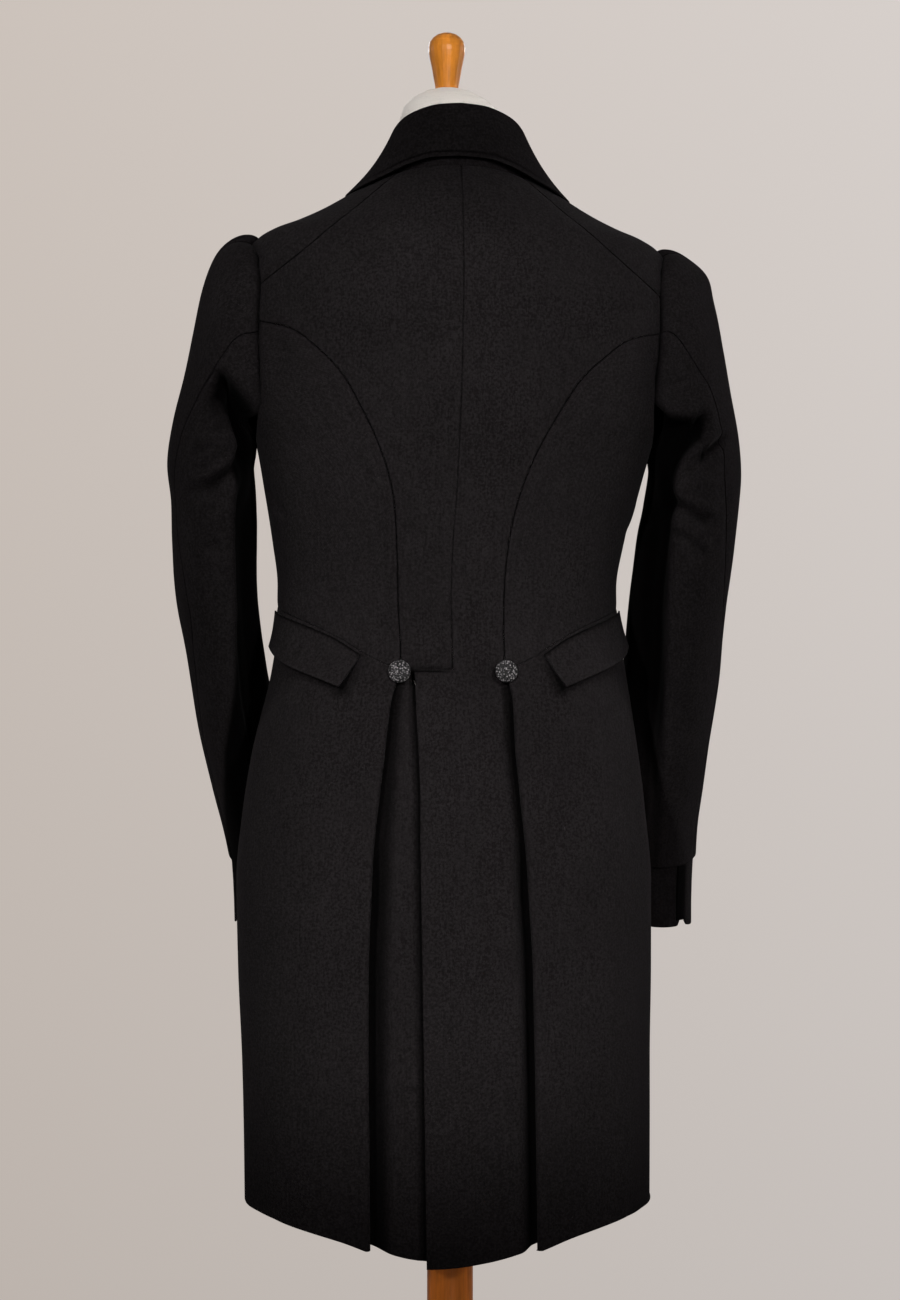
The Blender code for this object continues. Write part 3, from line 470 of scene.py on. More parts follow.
def through(points, count):
    """Count points at equal steps along the smooth curve through the given ones."""
    points = np.array(points, float)
    reach = reach_of(points)
    curve = points_at(reach, points, np.linspace(0, reach[-1], 400))
    length = reach_of(curve)
    return points_at(length, curve, np.linspace(0, length[-1], count), straight)


def on_back(across_and_up):
    """Angles and heights of points given across and up on the back."""
    across, height = np.moveaxis(np.asarray(across_and_up, float), -1, 0)
    return np.stack((rear_angle(across, height), height), axis=-1)


def arm_side(point):
    """Across and up of an armhole point given by angle and height."""
    height = point[0, 1]
    return ARM_EDGE.read("across", height), height


# Edges that two pieces share, worked out once so that their points match
SHOULDER_END = armhole([SHOULDER_STATION])
HIND_POINT = armhole([HIND_STATION])
SHOULDER_EDGE = np.concatenate((
    on_back(through([*SHOULDER_SEAM, arm_side(SHOULDER_END)], 10)[:-1]), SHOULDER_END))
CURVED_EDGE = np.concatenate((
    HIND_POINT, on_back(through([arm_side(HIND_POINT), *CURVED_SEAM], 12)[1:]), on_back(CURVED_SEAM_FOOT)))
SIDE_SEAM = through(
    [armhole(UNDERARM_STATION), (94, 1190), (95.5, 1130), (SIDE_SEAM_ANGLE, SIDE_WAIST)], len(CURVED_EDGE))
WAIST_EDGE = through([*on_back(WAIST_SEAM), (90, 1081.5), (SIDE_SEAM_ANGLE, SIDE_WAIST)], 6)
CUT_EDGE = through([(SIDE_SEAM_ANGLE, SIDE_WAIST), (112, 1082), CUT_IN], 4)


def tail_sink(across, height, side):
    """How far the centre tails lie below the skirts, with the right one lapped over the left."""
    foot = SINK_FOOT + (SINK_FOOT_AT_PLEAT - SINK_FOOT) * ease(across, *SINK_ACROSS)
    sink = -TAIL_SINK * ease(height, SINK_START, foot)
    if side > 0:
        return sink + LAP_STEP * (1 - ease(across, 0, LAP_ACROSS)) * ease(height, *LAP_START)
    tuck = ease(height, *TUCK_START) * (1 - ease(height, *TUCK_END))
    return sink - LAP_STEP * tuck * (1 - ease(across, *TUCK_ACROSS))


def front_sink(angle, side):
    """The right front goes under the left one where they overlap."""
    return -LAYER * ease(angle, *OVERLAP_START) * (side > 0)


def clear_of_coat(points, clearance):
    """Points moved out, where they lie closer to the coat's surface than the clearance."""
    def beyond(places):
        x, y, z = np.moveaxis(places, -1, 0)
        return np.hypot(x, y - BODY_AXIS_Y) - coat_radius(np.degrees(np.arctan2(x, BODY_AXIS_Y - y)), z)

    points = np.array(points, float)
    for _ in range(4):
        slope = np.stack([beyond(points + step) - beyond(points - step) for step in np.eye(3)], axis=-1) / 2
        steep = np.linalg.norm(slope, axis=-1)
        short = np.maximum(clearance - beyond(points) / steep, 0)
        points += slope / steep[..., None] * short[..., None]
    return points


def ring_points(table, row, around, side):
    """Points of one ring of the sleeve or cuff at angles round it: 0 outside, 90 behind, 180 inside."""
    size = {name: table.column(name)[row] for name in table.columns}
    if side < 0:
        size["inner_x"] -= LEFT_ARM.read("inner", size["inner_z"])
        size["outer_x"] -= LEFT_ARM.read("outer", size["outer_z"])
    inner = np.array([size["inner_x"], size["y_mid"], size["inner_z"]])
    outer = np.array([size["outer_x"], size["y_mid"], size["outer_z"]])
    tilt = math.radians(size["tilt"])
    rear = np.array([0.0, -math.cos(tilt), -math.sin(tilt)]) * size["depth"] / 2
    around = np.radians(around)[:, None]
    return (inner + outer) / 2 + (outer - inner) / 2 * np.cos(around) + rear * np.sin(around)


def seam_angles(stations, hind):
    """The armhole's stations as angles round a ring whose hind-arm seam is at the angle hind."""
    stations = np.asarray(stations, float)
    fore = ARM_STATIONS[0]
    top = fore + (stations - fore) * (hind - fore) / (HIND_STATION - fore)
    under = hind + (stations - HIND_STATION) * (FORE_STATION - hind) / (FORE_STATION - HIND_STATION)
    return np.where(stations <= HIND_STATION, top, under)


# Creases of the back, across and up as seen from behind, left of the middle negative
BACK_CREASES = Table("x0 z0 x1 z1 bow width depth", [
    (-163, 1336, -172, 1304, 3, 5.5, 3.6),
    (-156, 1320, -169, 1276, 4, 6.0, 4.2),
    (-137, 1326, -143, 1306, 2, 5.0, 1.4),
    (-173, 1192, -155, 1164, 3, 5.0, 3.6),
    (-39, 1022, -31, 1004, 1, 3.5, 2.4),
    (176, 1320, 180, 1286, -3, 5.5, 1.8),
    (168, 1300, 174, 1262, -3, 5.5, 1.8),
    (182, 1176, 166, 1150, -3, 6.0, 1.8),
    (-100, 1100, -152, 1082, 4, 7.0, 0.8),
    (96, 1098, 150, 1078, -4, 7.0, 0.8),
    (-34, 1062, -50, 1046, 2, 5.0, 0.6),
    (30, 1060, 46, 1044, -2, 5.0, 0.6),
])
# Creases of the front, by angle and height, the same on both sides
FRONT_CREASES = Table("angle0 z0 angle1 z1 bow width depth", [
    (108, 1260, 128, 1216, 4, 6.0, 1.6),
    (112, 1300, 138, 1262, 5, 7.0, 1.2),
    (104, 1120, 132, 1104, 4, 7.0, 1.4),
    (100, 1150, 124, 1140, -3, 7.0, 1.0),
    (150, 1130, 172, 1112, 4, 7.0, 1.0),
    (150, 1196, 173, 1182, 4, 8.0, 0.8),
])
# Soft forms of the tails, across and up at the top and the foot, left of the middle negative:
# a negative depth stands out
TAIL_FORMS = Table("x0 z0 x1 z1 bow width depth", [
    (-82, 1000, -97, 470, 3, 15, 1.8),
    (-122, 1010, -146, 450, -6, 24, -2.4),
    (-168, 960, -176, 480, 0, 16, 1.2),
    (30, 1015, 34, 450, 4, 22, -1.6),
    (98, 1000, 104, 470, 2, 16, 1.3),
    (136, 1000, 150, 450, -5, 24, -1.8),
    (170, 950, 178, 500, 0, 14, 1.0),
    (-40, 990, -44, 470, 1, 9, -1.4),
])
BODY_WAVES = [(31, 83, 0.4, 0.22), (-47, 61, 1.9, 0.25), (97, -38, 3.3, 0.18), (19, 170, 5.0, 0.12)]
TAIL_WAVES = [(24, 900, 0.7, 0.7), (-37, 700, 2.1, 0.9), (15.5, 1600, 4.0, 0.35)]
TAIL_WAVES_START = (1000.0, 780.0)


def crease(u, v, ends, bow, width, depth):
    """Soft trough along a bowed line from one end to the other, with a low ridge beside it.

    With t along the line and s across it, the trough is -depth * exp(-(s / width)^2) and the ridge
    0.45 * depth * exp(-((s - 1.9 width) / 1.5 width)^2), both fading out towards t = 0 and t = 1."""
    u0, v0, u1, v1 = ends
    length = math.hypot(u1 - u0, v1 - v0)
    du, dv = (u1 - u0) / length, (v1 - v0) / length
    t = ((u - u0) * du + (v - v0) * dv) / length
    s = (u - u0) * dv - (v - v0) * du - bow * 4 * t * (1 - t)
    fade = ease(t, -0.12, 0.32) * ease(t, 1.12, 0.6)
    return depth * fade * (0.45 * bell(s - 1.9 * width, 1.5 * width) - bell(s, width))


def swell(u, v, waves):
    """Sum of slow waves; each row is across, along, phase and height."""
    return sum(high * np.sin(u / across + v / along + phase) for across, along, phase, high in waves)


def relief(angle, height):
    """How far the cloth of the body stands out or in at a signed angle: creases and slow waves."""
    u = angle * DEGREE
    out = swell(u, height, BODY_WAVES)
    out = out + ease(height, *TAIL_WAVES_START) * swell(u, height, TAIL_WAVES)
    for x0, z0, x1, z1, bow, width, depth in BACK_CREASES.rows:
        ends = (signed_angle(x0, z0) * DEGREE, z0, signed_angle(x1, z1) * DEGREE, z1)
        out = out + crease(u, height, ends, bow, width, depth)
    for x0, z0, x1, z1, bow, width, depth in TAIL_FORMS.rows:
        share = np.clip((height - z1) / (z0 - z1), 0, 1)
        top, foot = signed_angle(x0, z0), signed_angle(x1, z1)
        s = (angle - foot - (top - foot) * share) * DEGREE + bow * np.sin(math.pi * share)
        out = out - depth * bell(s, width) * ease(height, z0 + 10, z0 - 90)
    for a0, z0, a1, z1, bow, width, depth in FRONT_CREASES.rows:
        out = out + crease(np.abs(u), height, (a0 * DEGREE, z0, a1 * DEGREE, z1), bow, width, depth)
    return out


def rolled(distance, radius=1.2):
    """Quarter round that turns the cloth's face down at an edge."""
    t = np.clip(1 - distance / radius, 0, 1)
    return -radius * (1 - np.sqrt(1 - t * t))


def pressed(distance, along, depth=0.5, reach=5.0):
    """Shallow dip along a pressed seam, with a faint uneven pucker."""
    pucker = 1 + 0.35 * np.sin(along / 5.3) * np.sin(along / 17.0 + 1.1)
    return -depth * bell(distance, reach) * pucker


def finer(edge, times=8):
    """The same edge with more points, smooth between its own."""
    edge = np.asarray(edge, float)
    at = np.linspace(0, len(edge) - 1, (len(edge) - 1) * times + 1)
    return points_at(np.arange(len(edge), dtype=float), edge, at)


def joined(*edges):
    """Edges in one line, sharing their ends."""
    return np.concatenate([edges[0], *[edge[1:] for edge in edges[1:]]])


def read_edge(edge, share):
    """Points of an edge at shares of its count."""
    return points_at(np.arange(len(edge)), edge, np.asarray(share) * (len(edge) - 1), straight)


def spaced(length, step):
    """Distances from 0 to length: close together near both ends, then about step apart."""
    near = np.array(NEAR_EDGE) * min(1.0, length / NARROW)
    count = max(int(round((length - 2 * near[-1]) / step)), 1)
    inner = np.linspace(near[-1], length - near[-1], count + 1)
    return np.concatenate((near[:-1], inner, (length - near[:-1])[::-1]))


def panel(top, bottom, left, right, place, step=CELL, close=()):
    """Fine Coons patch between four edges, in the edges' own two coordinates.

    A point is (1-v) top(u) + v bottom(u) + (1-u) left(v) + u right(v), less the same blend of the
    corners. Rows are evenly spaced along the right edge as place() puts it on the coat, and columns
    across each row. Also returned: each point's distance in mm from the top, bottom, left and right."""
    reach = reach_of(place(right))
    rows = np.unique(np.round(np.concatenate((spaced(reach[-1], step), close)), 3))
    down = np.interp(rows, reach, np.linspace(0, 1, len(right)))
    ends = [place(read_edge(edge, down)) for edge in (left, right)]
    width = np.maximum(np.linalg.norm(ends[1] - ends[0], axis=1), 1.0)
    columns = spaced(width.max(), step) / width.max()
    near = len(NEAR_EDGE) - 1
    distance = columns[None] * width[:, None]
    for k, away in enumerate(NEAR_EDGE[:near]):
        distance[:, k] = away * np.minimum(1, width / NARROW)
        distance[:, -1 - k] = width - distance[:, k]
    inner = np.linspace(0, 1, len(columns) - 2 * near)
    start = (NEAR_EDGE[near] * np.minimum(1, width / NARROW))[:, None]
    distance[:, near:len(columns) - near] = start + (width[:, None] - 2 * start) * inner
    u = (distance / width[:, None])[..., None]
    v = down[:, None, None]
    flat = ((1 - v) * read_edge(top, u[..., 0]) + v * read_edge(bottom, u[..., 0])
            + (1 - u) * read_edge(left, down)[:, None] + u * read_edge(right, down)[:, None]
            - (1 - v) * ((1 - u) * top[0] + u * top[-1]) - v * ((1 - u) * bottom[0] + u * bottom[-1]))
    across = np.broadcast_to(distance, u.shape[:2])
    along = np.broadcast_to(rows[:, None], u.shape[:2])
    gaps = {"top": along, "bottom": reach[-1] - along, "left": across, "right": width[:, None] - across}
    return flat, gaps


def edge_depth(gaps, seams="", edges=""):
    """Rolled edges all round what is named, and the pressed dip along the seams."""
    along = gaps["top"] + gaps["left"]
    out = 0.0
    for side in seams.split():
        out = out + rolled(gaps[side]) + pressed(gaps[side], along)
    for side in edges.split():
        out = out + rolled(gaps[side], 0.8)
    return out


def shell(name, outer, inner, cloth_map, seam):
    """Closed thin wall between an outer and an inner grid of points, with its rim."""
    rows, columns = outer.shape[:2]
    index = np.arange(rows * columns).reshape(rows, columns)
    corners = (index[:-1, :-1], index[:-1, 1:], index[1:, 1:], index[1:, :-1])
    quads = np.stack(corners, axis=-1).reshape(-1, 4)
    rim = np.concatenate((index[0], index[1:, -1], index[-1, -2::-1], index[-2:0:-1, 0]))
    step = np.roll(rim, -1)
    total = rows * columns
    walls = np.stack((step, rim, rim + total, step + total), axis=-1)
    faces = np.concatenate((quads, quads[:, ::-1] + total, walls))
    points = np.concatenate((outer.reshape(-1, 3), inner.reshape(-1, 3)))
    corner = points[quads]
    normal = np.cross(corner[:, 2] - corner[:, 0], corner[:, 3] - corner[:, 1])
    outwards = points[quads[:, 0]] - points[quads[:, 0] + total]
    if np.sum(normal * outwards) < 0:
        faces = faces[:, ::-1]
    obj = piece_object(name, points * MM, faces)
    flat = np.tile(cloth_map.reshape(-1, 2), (2, 1)) * MM
    layer = obj.data.uv_layers.new(name="cloth")
    layer.data.foreach_set("uv", flat[faces.reshape(-1)].astype(np.float32).reshape(-1))
    # The 'seam' attribute carries the shade painted into the wool along seams, in hollows and under the flaps
    painted_shade = obj.data.attributes.new("seam", "FLOAT", "POINT")
    painted_shade.data.foreach_set("value", np.tile(np.asarray(seam, np.float32).reshape(-1), 2))
    return dressed(obj)


def piece_object(name, points, faces):
    """Mesh object from arrays, smooth shaded."""
    mesh = bpy.data.meshes.new(name)
    mesh.vertices.add(len(points))
    mesh.vertices.foreach_set("co", np.asarray(points, np.float32).reshape(-1))
    faces = np.asarray(faces)
    mesh.loops.add(faces.size)
    mesh.loops.foreach_set("vertex_index", faces.reshape(-1).astype(np.int32))
    mesh.polygons.add(len(faces))
    mesh.polygons.foreach_set("loop_start", (np.arange(len(faces)) * faces.shape[1]).astype(np.int32))
    mesh.update(calc_edges=True)
    mesh.validate()
    mesh.shade_smooth()
    obj = bpy.data.objects.new(name, mesh)
    bpy.context.scene.collection.objects.link(obj)
    return obj


def dressed(obj):
    """Tie a finished object to the part."""
    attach(obj, "root")
    return obj


def map_of(gaps):
    """The cloth's own flat coordinates, across and along."""
    return np.stack((gaps["left"], gaps["top"]), axis=-1)


def seam_shade(gaps, names, reach=0.95):
    """Shade painted into the seams: 1 along the seams named, falling to 0 within about twice the reach."""
    painted_shade = 0.0
    for name in names.split():
        painted_shade = np.maximum(painted_shade, bell(gaps[name], reach))
    return painted_shade


def sew(name, grids, cloth_map, seam=None):
    """Make the wall and replace its solid."""
    # seam: how much shade is painted into the wool at each point
    outer, inner = grids
    if seam is None:
        seam = np.zeros(outer.shape[:2])
    obj = shell(name + ".cloth", outer, inner, cloth_map, seam)
    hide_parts(name)
    return obj


def on_coat(flat, side, out, lining=None):
    """Outer and inner points of cloth at angles and heights, out from the middle of the wall."""
    angle, height = flat[..., 0], flat[..., 1]
    wave = relief(angle * side, height)
    face = FACE + out + wave
    under = LINING + wave + (0.0 if lining is None else lining)
    return worn(coat_point(angle, height, face), side), worn(coat_point(angle, height, under), side)


def by_angle(flat):
    """Coat points of a panel laid out by angle and height."""
    return coat_point(flat[..., 0], flat[..., 1])


def by_across(flat):
    """Coat points of a panel laid out by distance from the middle and height."""
    return coat_point(signed_angle(flat[..., 0], flat[..., 1]), flat[..., 1])


SHOULDER_FINE = finer(SHOULDER_EDGE)
CURVED_FINE = finer(CURVED_EDGE)
SIDE_FINE = finer(SIDE_SEAM)
WAIST_FINE = finer(WAIST_EDGE)
CUT_FINE = finer(CUT_EDGE)


def pleat_sink(across, height, side):
    """The centre tail falls away towards the pleat, and stays deep behind it; deeper below the form."""
    fold = PLEAT.read("across", height)
    depth = PLEAT_HOLLOW * ease(height, *HOLLOW_START) + FOOT_HOLLOW * ease(height, *FOOT_HOLLOW_START)
    return -depth * ease(across, fold - HOLLOW_WIDTH[side], fold + 1)


def pleat_shade(across, height, side):
    """Painted shade of the pleat: 0 on the open tail, 1 in its depth; the left pleat stands wider open."""
    fold = PLEAT.read("across", height)
    open_by = np.minimum(SHADE_WIDTH[side], 0.5 * (fold - RIGHT_LAP.read("across", height)) + 1)
    return ease(across, fold - open_by, fold - 0.4 * open_by) * ease(height, VENT_TOP - 3, VENT_TOP - 14)


def tack_groove_and_shade(across, height, side):
    """Where the lap is tacked down across the vent's top, and the small tuck at its end: its groove, with
    shade painted in.
    """
    if side > 0:
        return bell(height - VENT_TOP + 1.3, 1.3) * ease(across, 3, -1)
    above = bell(height - VENT_TOP - 0.8, 2.0) * ease(across, -1, 3)
    above = above * ease(across, TACK_END + 2.5, TACK_END - 2.5)
    tuck = bell(across - TACK_END, 3.0) * bell(height - VENT_TOP + 3, 5.0)
    return np.maximum(above, tuck)


def vent_shade(across, height):
    """The left tail's strip under the lapped vent edge: painted shade, and how far it steps in."""
    lap = RIGHT_LAP.read("across", height)
    open_by = np.minimum(VENT_SHADE_WIDTH, 0.3 * (PLEAT.read("across", height) - lap) + 2)
    return ease(across, lap + open_by, lap + 0.2 * open_by) * ease(height, VENT_TOP - 1, VENT_TOP - 8)


def back_edges(side):
    """The back's neck, foot, centre edge and outer edge, each as across and height."""
    tail = np.array(TAIL_ROWS, float)
    underlay = PLEAT.read("across", tail) + PLEAT_DEPTH * ease(tail, *UNDERLAY_START)
    tail[-1] = UNDERLAY_HEM
    tail_edge = finer(joined(CURVED_EDGE[-1:], on_back(np.stack((underlay, tail), axis=-1))))
    shoulder_end = finer(np.stack((SHOULDER_EDGE[-1], CURVED_EDGE[0])))
    outer = joined(SHOULDER_FINE, shoulder_end, CURVED_FINE, tail_edge)
    across = coat_point(outer[:, 0], outer[:, 1])[:, 0]
    heights = outer[:, 1].copy()
    neck_drop = NAPE - heights[0]
    hem = RIGHT_HEM if side > 0 else LEFT_HEM
    blend = np.linspace(0, 1, CORNER_POINTS)
    right = np.stack((across, outer[:, 1]), axis=-1)
    heights[:CORNER_POINTS] = heights[:CORNER_POINTS] + neck_drop * (1 - blend) ** 2
    heights[-CORNER_POINTS:] = heights[-CORNER_POINTS:] - (UNDERLAY_HEM - hem) * blend ** 2
    lap = RIGHT_LAP.read("across", heights) if side > 0 else LEFT_LAP
    inner = -lap * ease(heights, VENT_TOP + 0.4, VENT_TOP - 0.4)
    over = np.linspace(0, 1, EDGE_POINTS)
    neck = np.stack((over * across[0], NAPE - neck_drop * over ** 2), axis=-1)
    foot_across = inner[-1] + over * (across[-1] - inner[-1])
    foot = np.stack((foot_across, hem + (UNDERLAY_HEM - hem) * over ** 1.8), axis=-1)
    return neck, foot, np.stack((inner, heights), axis=-1), right


def back_panel(name, side):
    """Back with its centre tail, laid out flat as across and height."""
    neck, foot, left, right = back_edges(side)
    reach = reach_of(by_across(right))
    tack = np.interp(VENT_TOP - np.array(TACK_ROWS), left[::-1, 1], reach[::-1])
    flat, gaps = panel(neck, foot, left, right, by_across, close=tack)
    x, height = flat[..., 0], flat[..., 1]
    angle = signed_angle(x, height)
    sunk = tail_sink(x, height, side) + pleat_sink(x, height, side)
    deep = pleat_shade(x, height, side)
    tacked = tack_groove_and_shade(x, height, side)
    if side < 0:
        sunk = sunk - VENT_STEP * vent_shade(x, height)
        deep = np.maximum(deep, vent_shade(x, height))
    out = edge_depth(gaps, "top left right", "bottom") + sunk - TACK_DEPTH * tacked
    calm = 1 - 0.5 * ease(height, *CALM_HEIGHTS) * ease(np.abs(x), *CALM_ACROSS)
    wave = relief(angle * side, height) * calm
    grids = (worn(coat_point(angle, height, FACE + out + wave), side),
             worn(coat_point(angle, height, LINING + sunk + wave), side))
    # Shade painted into the wool along the seams, the vent's edge and tack, and in the pleat's and vent's
    # hollows
    painted_shade = seam_shade(gaps, "top right") * ease(height, VENT_TOP - 10, VENT_TOP + 2)
    painted_shade = painted_shade + 0.55 * seam_shade(gaps, "left", 0.7) * ease(height, VENT_TOP - 6, VENT_TOP + 2)
    painted_shade = np.maximum(np.maximum(painted_shade, tacked), HOLLOW_SHADE * deep)
    sew(name, grids, map_of(gaps), seam=painted_shade)


def side_panel(name, side):
    """Between the curved back seam, the armhole, the underarm seam and the waist."""
    top = finer(armhole([s for s in ARM_STATIONS if HIND_STATION <= s <= UNDERARM_STATION]))
    flat, gaps = panel(top, WAIST_FINE, CURVED_FINE, SIDE_FINE, by_angle)
    out = edge_depth(gaps, "top bottom left right")
    # Shade painted along all four seams
    sew(name, on_coat(flat, side, out), map_of(gaps),
        seam=seam_shade(gaps, "top bottom left right"))


def front_panel(name, side):
    """From the shoulder seam over the shoulder to the waist."""
    over_top = [s for s in ARM_STATIONS if s <= SHOULDER_STATION][::-1]
    under = [s - 360 for s in ARM_STATIONS if UNDERARM_STATION <= s < FORE_STATION][::-1]
    right = joined(finer(armhole(over_top + under)), SIDE_FINE)
    neck = [SHOULDER_EDGE[0], *[(angle, NECK_SEAM.read("height", angle)) for angle in NECK_ANGLES]]
    edge = [(FRONT_END, EDGE_TOP), (FRONT_END, EDGE_MIDDLE), (FRONT_END, FRONT_WAIST)]
    left = joined(through(neck + [FRONT_EDGE[0]], 80), through(FRONT_EDGE + [edge[0]], 80), through(edge, 90))
    front_waist = through([edge[-1], WAIST_BEND, CUT_IN], EDGE_POINTS)
    bottom = joined(front_waist, CUT_FINE[::-1])
    flat, gaps = panel(SHOULDER_FINE, bottom, left, right, by_angle, FRONT_CELL)
    sunk = front_sink(flat[..., 0], side)
    out = edge_depth(gaps, "top right bottom", "left") + sunk
    # Shade painted along the shoulder, armhole, side and waist seams
    sew(name, on_coat(flat, side, out, sunk), map_of(gaps),
        seam=seam_shade(gaps, "top right bottom"))


def lapel_panel(name, side):
    """Turned back along the roll line, over the front."""
    roll = through(FRONT_EDGE, LAPEL_ROWS)[:-LAPEL_TRIM]
    edge = through(LAPEL_EDGE, LAPEL_ROWS)[:-LAPEL_TRIM]
    over = np.linspace(LAPEL_START, 1, EDGE_POINTS)[None, :, None]
    grid = (1 - over) * roll[:, None] + over * edge[:, None]
    lift = LAYER + LAPEL_LIFT + LAPEL_PUFF * over[..., 0] * (1 - over[..., 0]) * 4
    turn = np.radians(np.linspace(-90, 90, 13))[None]
    bend_angle = roll[:, :1] + LAPEL_ROLL + 1.0 * np.cos(turn)
    bend_out = front_sink(roll[:, :1], side) + (LAYER + LAPEL_LIFT) * (1 + np.sin(turn)) / 2
    angle = np.concatenate((bend_angle, grid[..., 0]), axis=1)
    height = np.concatenate((np.repeat(roll[:, 1:], turn.size, axis=1), grid[..., 1]), axis=1)
    out = np.concatenate((bend_out, front_sink(grid[..., 0], side) + lift), axis=1)
    centre = worn(coat_point(angle, height, out + relief(angle * side, height)), side)
    grids, cloth_map = wall_of(centre, FACE, LINING)
    sew(name, grids, cloth_map)


def wall_of(centre, face, lining, depth=0.0):
    """Outer and inner points of a wall round a grid of its middle, along the grid's own normals."""
    down, across = np.gradient(centre, axis=0), np.gradient(centre, axis=1)
    normal = np.cross(across, down)
    normal /= np.maximum(np.linalg.norm(normal, axis=-1, keepdims=True), 1e-9)
    u, v = reach_across(centre), reach_down(centre)
    rim = np.minimum(np.minimum(u, u[:, -1:] - u), np.minimum(v, v[-1:] - v))
    depth = np.asarray(depth + rolled(rim, 0.8))[..., None]
    return (centre + normal * (face + depth), centre + normal * lining), np.stack((u, v), axis=-1)


def collar_row(angle):
    """Neck, roll and edge of the collar at one angle, smooth across the centre back."""
    sign = -1.0 if angle < 0 else 1.0
    half = {name: COLLAR.read(name, abs(angle)) for name in COLLAR.columns[1:]}
    fold = np.array([half["fold_x"] * sign, half["fold_y"], half["fold_z"]])
    edge = np.array([half["edge_x"] * sign, half["edge_y"], half["edge_z"]])
    fold[0] += sign * ROLL_OUT[sign] * ease(abs(angle), *ROLL_OUT_START)
    neck = coat_point(angle, NECK_SEAM.read("height", abs(angle)))
    middle = (neck + edge) / 2
    up = (fold - middle) / np.linalg.norm(fold - middle)
    outward = (edge - neck) - up * np.dot(edge - neck, up)
    outward /= np.linalg.norm(outward)
    heart = fold - up * ROLL_RADIUS
    foot = neck + up * STAND_FOOT[0] + outward * STAND_FOOT[1]
    stand_top = heart - outward * ROLL_RADIUS
    fall_top = heart + outward * ROLL_RADIUS
    t = np.linspace(0, 1, STAND_STEPS + 1)[:-1, None]
    stand = foot + (stand_top - foot) * t - outward * STAND_HOLLOW * np.sin(math.pi * t)
    sweep = np.radians(np.linspace(180, 0, 17))[:, None]
    roll = heart + (outward * np.cos(sweep) + up * np.sin(sweep)) * ROLL_RADIUS
    length = np.linalg.norm(edge - fall_top)
    t = spaced(length, 2.2)[1:, None] / length
    crown = FALL_CROWN * (1 - CROWN_LOSS * ease(abs(angle), *CROWN_SIDES))
    fall = fall_top + (edge - fall_top) * t + outward * crown * np.sin(math.pi * t ** 0.8)
    return np.concatenate((stand, roll)), np.concatenate((roll[-1:], fall))


def collar_panel():
    """Stand, roll and fall in one folded sheet from front end to front end.

    The fall is edged with a narrow welt: a groove 4.6 mm from its edge, and a low ridge beyond it."""
    last = COLLAR.rows[-1, 0]
    ends = np.array(NEAR_EDGE[:-1]) * 0.5
    angles = np.concatenate((ends - last, np.linspace(3 - last, last - 3, 178), last - ends[::-1]))
    even = spaced(60.0, 2.0)[1:] / 60
    grid = []
    for angle in angles:
        upper, fall = collar_row(float(angle))
        length = reach_of(fall) / reach_of(fall)[-1]
        grid.append(np.concatenate((upper, points_at(length, fall, even))))
    grid = np.array(grid)
    grid[:, STAND_STEPS:] = clear_of_coat(grid[:, STAND_STEPS:], FALL_CLEARANCE)
    centre = worn(grid)
    reach = reach_across(centre)
    from_edge = reach[:, -1:] - reach
    ridge, ridge_width, ridge_height = WELT_RIDGE
    groove, groove_width, groove_depth = WELT_GROOVE
    welt = ridge_height * bell(from_edge - ridge, ridge_width)
    welt = welt - groove_depth * bell(from_edge - groove, groove_width)
    wave = 0.35 * np.sin(np.radians(angles) * 7 + 0.8)[:, None] * np.clip(1 - from_edge / 40, 0, 1)
    grids, cloth_map = wall_of(centre, -FACE - 0.1, -LINING, -(welt + wave))
    # Shade painted into the welt's groove
    sew("collar", grids, cloth_map,
        seam=0.9 * bell(from_edge - groove, 0.7))


def skirt_fold(height):
    """The skirt's pleat edge row by row, from its underlay out round the bend: across, height and depth."""
    fold = PLEAT.read("across", height)[:, None]
    turn = np.radians(np.linspace(90, 270, BEND_STEPS))[None]
    full = ease(height, *FULL_FOLD)[:, None]
    depth = (LAYER + (FOLD_DEPTH - LAYER) * full) / 2
    bend_x = fold + BEND_START + (0.55 + 0.45 * full) * BEND_WIDTH * np.cos(turn)
    bend_height = np.repeat(height[:, None], BEND_STEPS, axis=1)
    under_in = np.linspace(BEND_START, PLEAT_DEPTH - 1, 12)[None, 1:]
    drop = ease(height, *UNDER_TOP)[:, None] * (UNDER_DROP + under_in / 4)
    rise = ease(height, *UNDER_HEM)[:, None] * HEM_SLOPE * under_in
    under_height = height[:, None] - drop + rise
    x = np.concatenate((bend_x, fold + under_in), axis=1)[:, ::-1]
    high = np.concatenate((bend_height, under_height), axis=1)[:, ::-1]
    out = np.concatenate((depth * np.sin(turn) - depth, -2 * depth + 0 * under_in), axis=1)[:, ::-1]
    return x, high, out


